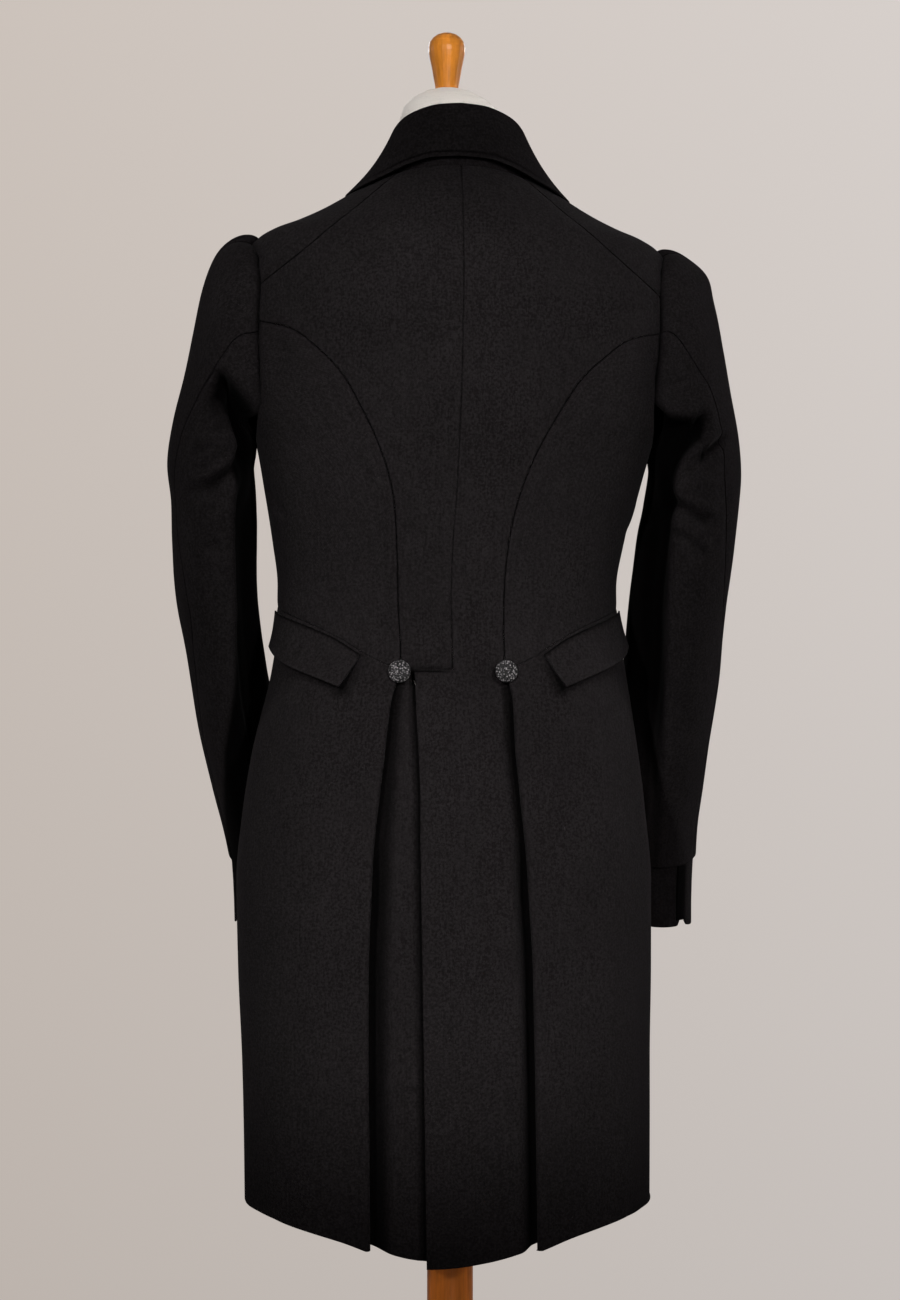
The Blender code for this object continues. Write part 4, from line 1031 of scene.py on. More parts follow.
def skirt_panel(name, side):
    """Side skirt of the tail, its pleat edge folded under towards the side."""
    heights = np.array(SKIRT_ROWS)
    fold_x = PLEAT.read("across", heights) + BEND_START
    start = on_back(np.stack((fold_x, heights), axis=-1))
    start[0, 1] = np.interp(start[0, 0], WAIST_FINE[:, 0], WAIST_FINE[:, 1])
    hem = through([(fold_x[-1], PLEAT_HEM), *SKIRT_HEM], EDGE_POINTS)
    bottom = through([*on_back(hem), SKIRT_HEM_SIDE, SKIRT_FRONT[-1]], 2 * EDGE_POINTS)
    seam_line = joined(WAIST_FINE, CUT_FINE)
    top = np.concatenate((start[:1], seam_line[seam_line[:, 0] > start[0, 0] + 0.3]))
    flat, gaps = panel(top, bottom, finer(start), through(SKIRT_FRONT, 2 * EDGE_POINTS), by_angle)
    fold_across, fold_height, fold_out = skirt_fold(flat[:, 0, 1])
    angle = np.concatenate((rear_angle(fold_across, fold_height), flat[:, 1:, 0]), axis=1)
    high = np.concatenate((fold_height, flat[:, 1:, 1]), axis=1)
    out = np.concatenate((fold_out, np.zeros(flat[:, 1:, 0].shape)), axis=1)
    from_top, from_left = gaps["top"][:, 1:], gaps["left"][:, 1:]
    seam_dip = rolled(from_top) + pressed(from_top, from_left)
    dip = np.concatenate((np.zeros(fold_out.shape), seam_dip), axis=1)
    centre = worn(coat_point(angle, high, out + relief(angle * side, high)), side)
    grids, cloth_map = wall_of(centre, -side * FACE, -side * LINING, -side * dip)
    # Shade painted along the waist seam and under the flap
    painted_shade = np.concatenate((np.zeros(fold_out.shape), bell(from_top, 1.3)), axis=1)
    painted_shade = np.maximum(painted_shade, flap_shade(angle, high))
    sew(name, grids, cloth_map, seam=painted_shade)


def flap_shade(angle, height):
    """The skirt's cloth in the shade of the flap: darkest at the flap's inner corner, thin along its foot."""
    spots = coat_point(angle, height)[..., [0, 2]]
    foot = coat_point(*through([*on_back(FLAP_FOOT), FLAP_FOOT_END], 30).T)[:, [0, 2]]
    corner = coat_point(*on_back(FLAP_TOP[:1]).T)[:, [0, 2]]
    down = np.linspace(0, 1, 9)[:, None]
    end = (1 - down) * corner + down * foot[:1]
    shade = np.zeros(height.shape)
    for line, (wide, first, last) in ((foot, FOOT_SHADE), (end, END_SHADE)):
        strong = np.linspace(first, last, len(line))
        away = np.linalg.norm(spots[..., None, :] - line, axis=-1)
        near = np.argmin(away, axis=-1)
        shade = np.maximum(shade, strong[near] * bell(away.min(axis=-1), wide))
    return shade


def flap_panel(name, side):
    """Pocket flap sewn in the waist seam, standing off at its foot."""
    top = through([*on_back(FLAP_TOP), FLAP_TOP_END], EDGE_POINTS)
    foot = through([*on_back(FLAP_FOOT), FLAP_FOOT_END], EDGE_POINTS)
    ends = np.linspace(0, 1, 30)[:, None]
    left, right = ((1 - ends) * top[k] + ends * foot[k] for k in (0, -1))
    flat, gaps = panel(top, foot, left, right, by_angle, FLAP_CELL)
    down = gaps["top"] / gaps["top"].max()
    stand_off, reach = FLAP_CORNER
    out = FLAP_SEAT + FLAP_STAND_OFF * down ** 1.3 + stand_off * (bell(gaps["left"], reach) * down ** 1.5)
    grids = on_coat(flat, side, out + edge_depth(gaps, "", "bottom left right"), out)
    # Shade painted along the flap's top, where it is sewn into the waist seam
    sew(name, grids, map_of(gaps), seam=bell(gaps["top"], 2.2))


# Creases of the sleeves: side (0 both), then round the ring and along the rings, from end to end
SLEEVE_CREASES = Table("side around0 ring0 around1 ring1 bow width depth", [
    (-1, 70, 10.4, 98, 9.7, 3, 6, 1.0),
    (-1, 84, 11.9, 62, 12.6, -4, 8, 0.9),
    (-1, 92, 14.2, 66, 14.9, 4, 9, 0.8),
    (1, 60, 9.6, 76, 9.9, 2, 4, 1.2),
    (1, 92, 12.2, 66, 12.8, 4, 8, 0.9),
    (1, 88, 14.6, 60, 15.3, -4, 9, 0.8),
    (0, 208, 6.0, 256, 6.8, 6, 8, 1.9),
    (0, 200, 7.8, 246, 8.5, 6, 8, 2.2),
    (0, 212, 9.1, 262, 9.5, -6, 9, 2.0),
    (0, 204, 10.9, 252, 11.5, 5, 9, 1.6),
    (0, 222, 13.2, 258, 13.9, 5, 9, 1.1),
    (0, 340, 10.2, 384, 10.9, 5, 10, 0.7),
])
# Folds with an overhanging lip: side, lip and hollow in mm, how soft the step is, how far the lip and the
# hollow reach from it, and the line it follows, across and up as seen from behind
ARM_FOLDS = [
    (-1, 4.5, 20.0, 4.0, 15, 28,
     [(229, 1293), (221, 1289), (211, 1281), (199, 1268), (187, 1253), (179, 1238)]),
    (-1, 5.5, 9.0, 3.6, 12, 14,
     [(250, 1182), (238, 1188), (218, 1199), (205, 1211), (200, 1226), (202, 1240), (209, 1255),
      (218, 1272)]),
    (-1, 2.5, 3.5, 2.8, 9, 8,
     [(243, 1203), (233, 1208), (224, 1213), (214, 1219)]),
    (1, 5.0, 18.0, 4.2, 16, 27,
     [(238, 1262), (228, 1263), (217, 1259), (201, 1259), (190, 1266), (181, 1273)]),
    (1, 5.5, 9.0, 3.4, 10, 14,
     [(215, 1176), (208, 1185), (204, 1204), (208, 1222), (218, 1234), (230, 1243)]),
    (1, 4.2, 8.5, 4.2, 13, 11,
     [(246, 1166), (234, 1169), (222, 1174), (210, 1182)]),
    (1, 2.8, 4.2, 2.8, 9, 8,
     [(243, 1130), (236, 1135), (223, 1146), (214, 1152)]),
]
# Soft ridges (negative) and troughs beside them: side, ends across and up, bow, width, depth
ARM_ROLLS = Table("side x0 z0 x1 z1 bow width depth", [
    (-1, 228, 1220, 208, 1232, 2, 5, -4.6),
    (-1, 244, 1214, 216, 1224, 3, 4, 4.0),
    (1, 254, 1246, 226, 1215, 3, 5.5, 9.0),
    (1, 242, 1206, 224, 1186, 4, 8, -3.6),
    (-1, 232, 1160, 214, 1168, 3, 6, 2.6),
    (-1, 226, 1128, 210, 1136, 3, 6, 2.8),
])
# Where each sleeve turns inwards towards the body: ring, angle and depth
ARM_TURN = Table("ring left right depth", [
    (3, 140, 140, 0), (6.2, 130, 126, 7), (7.6, 125, 120, 12), (9, 123, 117, 13), (11.2, 120, 112, 13),
    (12.6, 112, 108, 12), (15, 106, 104, 10), (19, 102, 102, 6)])
# How far across the shaded inner side of each sleeve reaches at a height, as seen from behind
DARK_SIDE = Table("up left right", [
    (940, 210, 212), (990, 205, 207), (1050, 201, 203), (1100, 199, 206), (1130, 198, 205),
    (1150, 198, 197), (1172, 200, 196), (1190, 202, 207), (1211, 206, 210), (1228, 200, 214),
    (1243, 201, 226), (1258, 210, 231), (1267, 215, 231), (1290, 222, 231)])
# Under which line that shade begins: across and up
DARK_TOP = {
    -1: [(180, 1235), (184, 1240), (221, 1288), (240, 1300)],
    1: [(180, 1268), (190, 1266), (201, 1259), (217, 1259), (240, 1264)],
}
# The right sleeve's shade thins towards the wrist between these heights
DARK_END = (1010.0, 905.0)
# Fuller outer corner of the right sleeve's head: across, up, reach and height
HEAD_CORNER = (238.0, 1400.0, 17.0, 4.5)
# The head's turn into the armhole seam: radius and depth, then the puff's place, reach and height
HEAD_ROLL = (5.0, 2.6)
HEAD_PUFF = (14.0, 9.0, 1.2)
# Where the hind-arm seam lies beyond the solid's own, in degrees
SEAM_SHIFT = Table("ring left right", [
    (0, 6, 1), (1, 9, 1), (2, 11, 5.5), (3, 13, 10.5), (4, 13, 11), (5, 8, 6), (6, 1.5, 4), (7, -3, 10),
    (8, -5, 14.5), (9, -8, 11), (10, 1, 8), (11, 11, 2.5), (12, 14, -7), (13, 6, -12), (15, 0, -10),
    (19, 0, -4)])
# Slow waves: how long across and along, phase and height
SLEEVE_WAVES = [(21, 60, 0.4, 0.3), (-33, 41, 2.2, 0.35), (60, 25, 4.1, 0.3), (14, -90, 1.0, 0.15)]
# The armhole's end of the sleeve lies this far out; the sleeve's and the cuff's lower ends are raised
ARM_TUCK = 0.1
ARM_END_LIFT = 6.5
ARM_END_START = 17
CUFF_LIFT = 5.5
# The cuff's slit: how far the right one is turned to the back, how far it laps and how deep
CUFF_TURN = 20.0
CUFF_LAP = 7.0
LAP_DEPTH = 3.0
# The cuff's height, and its size of cell at the lap
CUFF_HEIGHT = 80.0
LAP_CELL = 1.5
# How the cuff's lower edge rises and dips near the slit
SLIT_RISE = 6.0
SLIT_DIP = (38.0, 30.0, 6.0)
SLIT_CORNER = (2.5, 4.0)


def between_rows(grid, at):
    """Which rows of a grid lie before the places, and how far on each place is."""
    i = np.clip(np.searchsorted(np.arange(len(grid)), at, side="right") - 1, 0, len(grid) - 2)
    return i, at - i


def arm_rings(side, stations, rows):
    """Points of the sleeve at fractional ring numbers, on the same rings as the solid, smooth between."""
    edge = armhole(stations)
    arm = coat_point(edge[:, 0], edge[:, 1], -1.0)
    arm[:, 0] += ARM_TUCK
    plain = ring_points(SLEEVE, 0, seam_angles(stations, HIND_STATION), 1)
    coarse, arounds = [], []
    for row, own in enumerate(SLEEVE.column("own")):
        hind = SLEEVE.column("hind")[row] + SEAM_SHIFT.read(TAGS[side], row)
        arounds.append(seam_angles(stations, float(hind)))
        coarse.append(ring_points(SLEEVE, row, arounds[-1], side) + own * (arm - plain))
    coarse, arounds = np.array(coarse), np.array(arounds)
    i, share = between_rows(coarse, rows)
    t = share[:, None, None]
    slope = np.gradient(coarse, axis=0)
    points = (coarse[i] * (1 + 2 * t) * (1 - t) ** 2 + coarse[i + 1] * t * t * (3 - 2 * t)
              + slope[i] * t * (1 - t) ** 2 + slope[i + 1] * t * t * (t - 1))
    around = arounds[i] * (1 - t[..., 0]) + arounds[i + 1] * t[..., 0]
    points[..., 2] += ARM_END_LIFT * ease(rows, ARM_END_START, len(coarse) - 1)[:, None]
    return points, around


def fold_step(u, v, line, lip, hollow, soft, above, below):
    """Fold with a lip above a curved line and a hollow below it.

    With s the signed distance from the line and f = (1 - tanh(s / soft)) / 2, it is
    lip f exp(-(s / above)^2) - hollow (1 - f) exp(-(s / below)^2), fading towards the line's ends."""
    line = through(line, 40)
    apart = np.stack((u, v), axis=-1)[..., None, :] - line
    away = np.linalg.norm(apart, axis=-1)
    near = np.argmin(away, axis=-1)
    run = np.gradient(line, axis=0)[near]
    gap = np.take_along_axis(apart, near[..., None, None], axis=-2)[..., 0, :]
    s = (gap[..., 1] * run[..., 0] - gap[..., 0] * run[..., 1]) / np.linalg.norm(run, axis=-1)
    share = near / (len(line) - 1)
    past = np.maximum(away.min(axis=-1) - np.abs(s), 0)
    fade = ease(share, -0.02, 0.2) * ease(share, 1.3, 0.8) * bell(past, 8)
    f = (1 - np.tanh(s / soft)) / 2
    return fade * (lip * f * bell(s, above) - hollow * (1 - f) * bell(s, below))


def sleeve_relief(around, ring, side, points, facing):
    """Large folds, creases and slow waves of the sleeve's cloth, and the shade painted into its hollows and
    inner side.
    """
    u, v = around * ARM_DEGREE, ring * RING_STEP
    behind = ease(facing, 0.0, 0.4)
    x, z = points[..., 0], points[..., 2]
    out = np.zeros(around.shape)
    for where, lip, hollow, soft, above, below, line in ARM_FOLDS:
        if where == side:
            out = out + behind * fold_step(x, z, line, lip, hollow, soft, above, below)
    for where, x0, z0, x1, z1, bow, width, depth in ARM_ROLLS.rows:
        if where == side:
            out = out + behind * crease(x, z, (x0, z0, x1, z1), bow, width, depth)
    for where, a0, r0, a1, r1, bow, width, depth in SLEEVE_CREASES.rows:
        if where in (0, side):
            ends = (a0 * ARM_DEGREE, r0 * RING_STEP, a1 * ARM_DEGREE, r1 * RING_STEP)
            out = out + crease(u, v, ends, bow, width, depth)
    turn = ARM_TURN.read(TAGS[side], ring)
    depth = ARM_TURN.read("depth", ring)
    inward = ease(around, turn - 3, turn + 17) * ease(around, turn + 62, turn + 32)
    out = out + depth * (0.25 * bell(around - turn + 9, 10) - inward)
    # Painted shade: on the inner side where the sleeve turns in, over the reach of DARK_SIDE, and in deep
    # hollows
    inner_side = ease(around, turn - 3, turn + 15) * ease(around, turn + 125, turn + 95)
    inner_side = inner_side * np.clip(depth / 6, 0, 1)
    edge = DARK_SIDE.read(TAGS[side], z)
    top = np.array(DARK_TOP[side], float)
    below_top = ease(np.interp(x, top[:, 0], top[:, 1]) - z, -2, 5)
    dark = ease(edge - x, -2, 5) * below_top * ease(facing, -0.6, -0.2)
    hollow = np.maximum(np.maximum(np.clip(-out - 3.5, 0, 7) / 7, inner_side), dark)
    if side > 0:
        hollow = hollow * (1 - 0.75 * ease(z, *DARK_END))
        mid_x, mid_z, reach, high = HEAD_CORNER
        out = out + high * bell(np.hypot(x - mid_x, z - mid_z), reach)
    return out + swell(u, v, SLEEVE_WAVES) * ease(ring, 0.5, 3), hollow


def head_roll(down):
    """Sleeve head turned into the armhole seam: a quarter round, then a soft puff beyond it."""
    radius, depth = HEAD_ROLL
    place, reach, high = HEAD_PUFF
    t = np.clip(1 - down / radius, 0, 1)
    return -depth * (1 - np.sqrt(np.maximum(1 - t * t, 0))) + high * bell(down - place, reach)


def arm_rows(last):
    """Ring numbers of the sleeve's rows: close at both ends, closest over the big folds."""
    return np.concatenate((
        [0, 0.02, 0.05, 0.1, 0.17, 0.26], np.arange(0.36, 2.4, 0.1), np.arange(2.4, 11, 0.062),
        np.arange(11, last - 0.2, 0.1), last - np.array([0.12, 0.07, 0.04, 0.02, 0.01, 0])))


def sleeve_panel(name, side, first, final):
    """One piece of the sleeve, between two stations of the armhole."""
    rows = arm_rows(len(SLEEVE.rows) - 1)
    stations = first + spaced(final - first, SLEEVE_CELL)
    points, around = arm_rings(side, stations, rows)
    ring = np.broadcast_to(rows[:, None], around.shape)
    normal = np.cross(np.gradient(points, axis=1), np.gradient(points, axis=0))
    normal /= np.linalg.norm(normal, axis=-1, keepdims=True)
    whole, _ = arm_rings(side, np.array(ARM_STATIONS[:-1], float), rows)
    outwards = points - whole.mean(axis=1, keepdims=True)
    normal *= np.sign(np.sum(normal * outwards, axis=-1, keepdims=True))
    u, v = reach_across(points), reach_down(points)
    seam = np.minimum(u, u[:, -1:] - u)
    flat_out, hollow = sleeve_relief(around, ring, side, points, -normal[..., 1])
    out = rolled(seam) + pressed(seam, v) + rolled(v[-1:] - v) + head_roll(v) + flat_out
    grids = (worn(points + normal * (FACE + out)[..., None], side),
             worn(points + normal * (LINING + flat_out)[..., None], side))
    # Shade painted along the sleeve's seams, where its head meets the armhole, in its hollows and on its
    # inner side
    painted_shade = np.maximum(np.maximum(0.75 * bell(seam, 0.7), bell(v, 4.5)), ARM_SHADE * hollow)
    sew(name, grids, np.stack((u, v), axis=-1),
        seam=painted_shade)


def cuff_panel(name, side):
    """Cuff under the sleeve's end, open in a slit at the hind-arm seam."""
    around = CUFF_SLIT / 2 + spaced(360 - CUFF_SLIT, 3.0)
    around = np.concatenate((around, around[-1] + spaced(CUFF_SLIT + CUFF_LAP, LAP_CELL)[1:]))
    shift = CUFF_TURN if side > 0 else 0.0
    hinds = enumerate(CUFF.column("hind"))
    coarse = np.array([ring_points(CUFF, row, hind + shift + around, side) for row, hind in hinds])
    coarse[..., 2] += CUFF_LIFT * np.linspace(0.3, 1, len(coarse))[:, None]
    at = spaced(CUFF_HEIGHT, SLEEVE_CELL) / CUFF_HEIGHT * (len(coarse) - 1)
    i, t = between_rows(coarse, at)
    t = t[:, None, None]
    points = (1 - t) * coarse[i] + t * coarse[i + 1]
    down = (at / at[-1])[:, None]
    slit_end = 360 - CUFF_SLIT / 2
    back, dip_width, dip = SLIT_DIP
    corner_width, corner = SLIT_CORNER
    rise = SLIT_RISE * ease(around, slit_end - 13, slit_end)
    rise = rise - dip * bell(around - slit_end + back, dip_width)
    rise = rise + corner * bell(around - around[0], corner_width)
    points[..., 2] += down ** 2 * rise
    wave = 0.5 * np.sin(around / 23.0 + 1.0) * down - LAP_DEPTH * ease(around, slit_end - 5, slit_end + 1)
    # Painted shade on the underlap of the slit
    dark = np.broadcast_to(ease(around, slit_end - 7, slit_end - 1), wave.shape)
    grids, cloth_map = wall_of(worn(points, side), -side * FACE, -side * LINING, -side * wave)
    sew(name, grids, cloth_map, seam=dark)


class Nodes:
    """Node tree under way. Its helpers take sockets or values, and give back the new node's output."""

    def __init__(self, tree):
        self.tree = tree

    def put(self, value, socket):
        """Link an output to a socket, or set the socket's value."""
        if isinstance(value, bpy.types.NodeSocket):
            self.tree.links.new(value, socket)
        else:
            socket.default_value = value

    def put_all(self, node, inputs):
        """Fill a node's sockets by name; an underscore stands for a space."""
        for key, value in inputs.items():
            self.put(value, node.inputs[key.replace("_", " ")])
        return node

    def add(self, kind, **inputs):
        return self.put_all(self.tree.nodes.new(kind), inputs)

    def noise(self, vector, scale, detail=3.0, roughness=0.55):
        node = self.add("ShaderNodeTexNoise", Vector=vector, Scale=scale, Detail=detail, Roughness=roughness)
        return node.outputs["Fac"]

    def ramp(self, factor, *stops):
        """Colour ramp between two stops, each a position and a colour or grey."""
        node = self.add("ShaderNodeValToRGB", Fac=factor)
        for element, (position, colour) in zip(node.color_ramp.elements, stops):
            element.position = position
            element.color = (*colour, 1) if isinstance(colour, tuple) else (colour, colour, colour, 1)
        return node.outputs["Color"]

    def mix(self, factor, a, b, blend="MIX"):
        node = self.add("ShaderNodeMix")
        node.data_type = "RGBA"
        node.blend_type = blend
        for number, value in ((0, factor), (6, a), (7, b)):
            self.put((*value, 1) if isinstance(value, tuple) else value, node.inputs[number])
        return node.outputs[2]

    def math(self, operation, *values):
        node = self.add("ShaderNodeMath")
        node.operation = operation
        for socket, value in zip(node.inputs, values):
            self.put(value, socket)
        return node.outputs[0]

    def bump(self, height, strength, distance, **under):
        node = self.add("ShaderNodeBump", Height=height, Strength=strength, Distance=distance, **under)
        return node.outputs["Normal"]

    def stretched(self, vector, scale):
        return self.add("ShaderNodeMapping", Vector=vector, Scale=scale).outputs["Vector"]


class Finish(Nodes):
    """New material, with the places of its points: spot on the object, flat on the cloth."""

    def __init__(self, name):
        made = bpy.data.materials.new(name)
        made.use_nodes = True
        super().__init__(made.node_tree)
        place = self.add("ShaderNodeTexCoord")
        self.made = made
        self.spot, self.flat = place.outputs["Object"], place.outputs["UV"]

    def shade(self, **inputs):
        """Fill the shader's sockets and give the material."""
        self.put_all(self.tree.nodes["Principled BSDF"], inputs)
        return self.made


def tinted(share, colour):
    """A share of a colour."""
    return tuple(share * c for c in colour)


def wool(name, dark, light, sheen):
    """Milled wool: a fine twill under a felted nap, faint streaks down the cloth and pale stray fibres."""
    felt = Finish(name)
    nap = felt.noise(felt.spot, 430.0, 3.0, 0.75)
    streak = felt.noise(felt.stretched(felt.flat, (520.0, 34.0, 1.0)), 1.0, 3.0, 0.7)
    broad = felt.noise(felt.spot, 11.0, 3.0)
    tone = felt.mix(felt.ramp(nap, (0.41, 0.0), (0.61, 1.0)), dark, light)
    tone = felt.mix(0.55, tone, felt.ramp(streak, (0.3, 0.62), (0.72, 1.25)), "MULTIPLY")
    tone = felt.mix(0.5, tone, felt.ramp(broad, (0.3, 0.75), (0.7, 1.1)), "MULTIPLY")
    lint = felt.ramp(felt.noise(felt.spot, 760.0, 1.0, 0.5), (0.77, 0.0), (0.84, 1.0))
    tone = felt.mix(felt.math("MULTIPLY", lint, 0.6), tone, tinted(4.5, light))
    # Shade painted in: the 'seam' attribute darkens the wool along seams, in hollows and under the flaps
    seam = felt.add("ShaderNodeAttribute")
    seam.attribute_name = "seam"
    tone = felt.mix(felt.math("MULTIPLY", seam.outputs["Fac"], 0.88), tone, tinted(0.12, dark))
    twill = felt.add("ShaderNodeTexWave", Vector=felt.flat, Scale=330.0, Distortion=1.2)
    twill.bands_direction = "DIAGONAL"
    ribs = felt.bump(twill.outputs["Fac"], 0.3, 0.0002)
    return felt.shade(Base_Color=tone, Roughness=1.0, Specular_IOR_Level=0.0, Sheen_Weight=sheen,
                      Sheen_Roughness=0.5, Normal=felt.bump(nap, 0.6, 0.0006, Normal=ribs))


def woven_thread(name, dark, light):
    """Button cover: a small basket weave of thread, with glints painted on its crests and shade painted
    between them.
    """
    thread = Finish(name)
    cells = thread.add("ShaderNodeTexVoronoi", Vector=thread.spot, Scale=520.0, Randomness=0.75)
    away = cells.outputs["Distance"]
    tone = thread.mix(thread.ramp(away, (0.12, 1.0), (0.5, 0.0)), dark, light)
    height = thread.math("SUBTRACT", 1.0, away)
    return thread.shade(Base_Color=tone, Roughness=0.55, Specular_IOR_Level=0.15, Sheen_Weight=0.02,
                        Normal=thread.bump(height, 0.9, 0.0006))


def varnished(name, dark, light, stretch, coat):
    """Varnished wood with grain drawn out along the height."""
    wood = Finish(name)
    drawn = wood.stretched(wood.spot, stretch)
    grain = wood.noise(drawn, 42.0, 6.0, 0.65)
    pores = wood.noise(drawn, 260.0, 3.0, 0.6)
    tone = wood.mix(wood.ramp(grain, (0.32, 0.0), (0.68, 1.0)), dark, light)
    tone = wood.mix(0.45, tone, wood.ramp(pores, (0.35, 0.62), (0.6, 1.0)), "MULTIPLY")
    return wood.shade(Base_Color=tone, Roughness=0.4, Specular_IOR_Level=0.15, Coat_Weight=coat,
                      Coat_Roughness=0.28, Normal=wood.bump(pores, 0.12, 0.0004))


def calico(name, dark, light):
    """Plain cotton cover of the form: crossing threads and faint slubs."""
    cotton = Finish(name)
    weft = cotton.noise(cotton.stretched(cotton.spot, (40.0, 40.0, 900.0)), 1.0, 3.0)
    warp = cotton.noise(cotton.stretched(cotton.spot, (900.0, 900.0, 40.0)), 1.0, 3.0)
    threads = cotton.math("ADD", weft, warp)
    tone = cotton.mix(cotton.ramp(threads, (0.6, 0.0), (1.0, 1.0)), dark, light)
    slubs = cotton.ramp(cotton.noise(cotton.spot, 9.0, 3.0), (0.3, 0.86), (0.7, 1.0))
    tone = cotton.mix(0.35, tone, slubs, "MULTIPLY")
    return cotton.shade(Base_Color=tone, Roughness=0.9, Sheen_Weight=0.15,
                        Normal=cotton.bump(threads, 0.35, 0.0004))


def plain_paper(name, colour):
    """Matt studio floor with the faintest mottle."""
    paper = Finish(name)
    cloud = paper.noise(paper.spot, 1.4, 2.0)
    tone = paper.ramp(cloud, (0.3, tinted(0.97, colour)), (0.7, colour))
    return paper.shade(Base_Color=tone, Roughness=0.9)


def cover(obj, material):
    obj.data.materials.clear()
    obj.data.materials.append(material)


def fine_button(name, angle, height, seat, side):
    """Domed mould covered in woven thread, with a turned-in rim; r and z follow a quarter ellipse."""
    around = np.radians(np.linspace(0, 360, 96, endpoint=False))
    sweep = np.radians(np.linspace(3, 90, 22))
    rim = np.radians([30, 60, 90])
    crown = BUTTON_HEIGHT - BUTTON_EDGE
    radius = np.concatenate((BUTTON_RADIUS * np.sin(sweep), BUTTON_RADIUS - BUTTON_TURN * (1 - np.cos(rim))))
    rise = np.concatenate((BUTTON_EDGE + crown * np.cos(sweep), BUTTON_EDGE * (1 - np.sin(rim))))
    bulge = np.sin(np.pi * np.clip(radius / BUTTON_RADIUS, 0, 1))
    star = BUTTON_STAR * np.cos(12 * around)[None] * bulge[:, None]
    place = worn(coat_point(angle, height, seat), side)
    facing = worn(coat_point(angle, height, seat + 1.0), side) - place
    facing /= np.linalg.norm(facing)
    sideways = np.cross([0.0, 0.0, 1.0], facing)
    sideways /= np.linalg.norm(sideways)
    upright = np.cross(facing, sideways)
    spokes = np.cos(around)[:, None] * sideways + np.sin(around)[:, None] * upright
    out = (rise[:, None] + star)[..., None] * facing
    points = (place + radius[:, None, None] * spokes + out).reshape(-1, 3)
    index = np.arange(len(points)).reshape(radius.size, around.size)
    after = np.roll(index, -1, axis=1)
    quads = np.stack((index[:-1], index[1:], after[1:], after[:-1]), axis=-1).reshape(-1, 4)
    tip, foot = len(points), len(points) + 1
    caps = [(tip, a, b) for a, b in zip(index[0].tolist(), after[0].tolist())]
    caps += [(foot, b, a) for a, b in zip(index[-1].tolist(), after[-1].tolist())]
    points = np.concatenate((points, [place + facing * BUTTON_HEIGHT, place])) * MM
    mesh = bpy.data.meshes.new(name)
    mesh.from_pydata(points.tolist(), [], quads.tolist() + caps)
    mesh.shade_smooth()
    obj = bpy.data.objects.new(f"{name}_cover", mesh)
    bpy.context.scene.collection.objects.link(obj)
    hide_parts(name)
    return dressed(obj)


class TailcoatColours(bpy.types.PropertyGroup):
    wool_dark: bpy.props.FloatVectorProperty(
        name="Wool, dark", description="Darkest tone of the milled wool",
        subtype="COLOR", size=3, min=0, max=1, default=(0.0056, 0.0048, 0.0051))
    wool_light: bpy.props.FloatVectorProperty(
        name="Wool, light", description="Tone of the wool's raised nap",
        subtype="COLOR", size=3, min=0, max=1, default=(0.0112, 0.0099, 0.0105))
    sheen: bpy.props.FloatProperty(
        name="Wool sheen", description="Soft light that the nap catches at a slant",
        default=0.01, min=0, max=1)
    thread: bpy.props.FloatVectorProperty(
        name="Button thread", description="Thread over the button moulds",
        subtype="COLOR", size=3, min=0, max=1, default=(0.05, 0.047, 0.049))
    cotton: bpy.props.FloatVectorProperty(
        name="Form cover", description="Cotton cover of the dress form",
        subtype="COLOR", size=3, min=0, max=1, default=(0.72, 0.68, 0.635))
    knob: bpy.props.FloatVectorProperty(
        name="Knob", description="Varnished wood of the neck knob",
        subtype="COLOR", size=3, min=0, max=1, default=(0.55, 0.19, 0.0185))
    pole: bpy.props.FloatVectorProperty(
        name="Pole and base", description="Varnished wood of the stand",
        subtype="COLOR", size=3, min=0, max=1, default=(0.62, 0.17, 0.018))


class TailcoatStudio(bpy.types.PropertyGroup):
    floor_radius: bpy.props.FloatProperty(
        name="Floor radius", description="Radius of the round studio floor",
        default=1.75, min=0.5, max=10, unit="LENGTH")
    camera_distance: bpy.props.FloatProperty(
        name="Camera distance", description="From the camera to the pole",
        default=2.8, min=1, max=20, unit="LENGTH")
    camera_height: bpy.props.FloatProperty(
        name="Camera height", description="Height of the camera above the floor",
        default=1.04, min=0, max=5, unit="LENGTH")
    key_power: bpy.props.FloatProperty(
        name="Key light", description="Power of the large light above, in watts",
        default=2.2, min=0, max=2000)
    key_spread: bpy.props.FloatProperty(
        name="Key spread", description="How wide the key light's beam opens, in degrees",
        default=6.0, min=1, max=180)
    foot_power: bpy.props.FloatProperty(
        name="Foot light", description="Power of the low light on the stand, in watts",
        default=0.38, min=0, max=2000)
    head_power: bpy.props.FloatProperty(
        name="Head light", description="Power of the light on the neck, in watts",
        default=0.095, min=0, max=2000)
    front_power: bpy.props.FloatProperty(
        name="Front lights", description="Power of the front's two lights, in watts",
        default=1.5, min=0, max=2000)
    side_pair_power: bpy.props.FloatProperty(
        name="Side pair", description="Power of the sides' two lights, in watts",
        default=1.5, min=0, max=2000)
    side_power: bpy.props.FloatProperty(
        name="Side light", description="Power of the weak light at the right, in watts",
        default=8.0, min=0, max=2000)


# Edges of the form's cover sharper than this stay sharp
SHARP_DEGREES = 40.0
# The floor's colour and height, the photograph's height in pixels and the millimetres to one of them
FLOOR_TONE = (0.62, 0.60, 0.575)
FLOOR_HEIGHT = -0.0005
PHOTO_ROWS = 1300
PIXEL = 0.95
SENSOR = 36.0
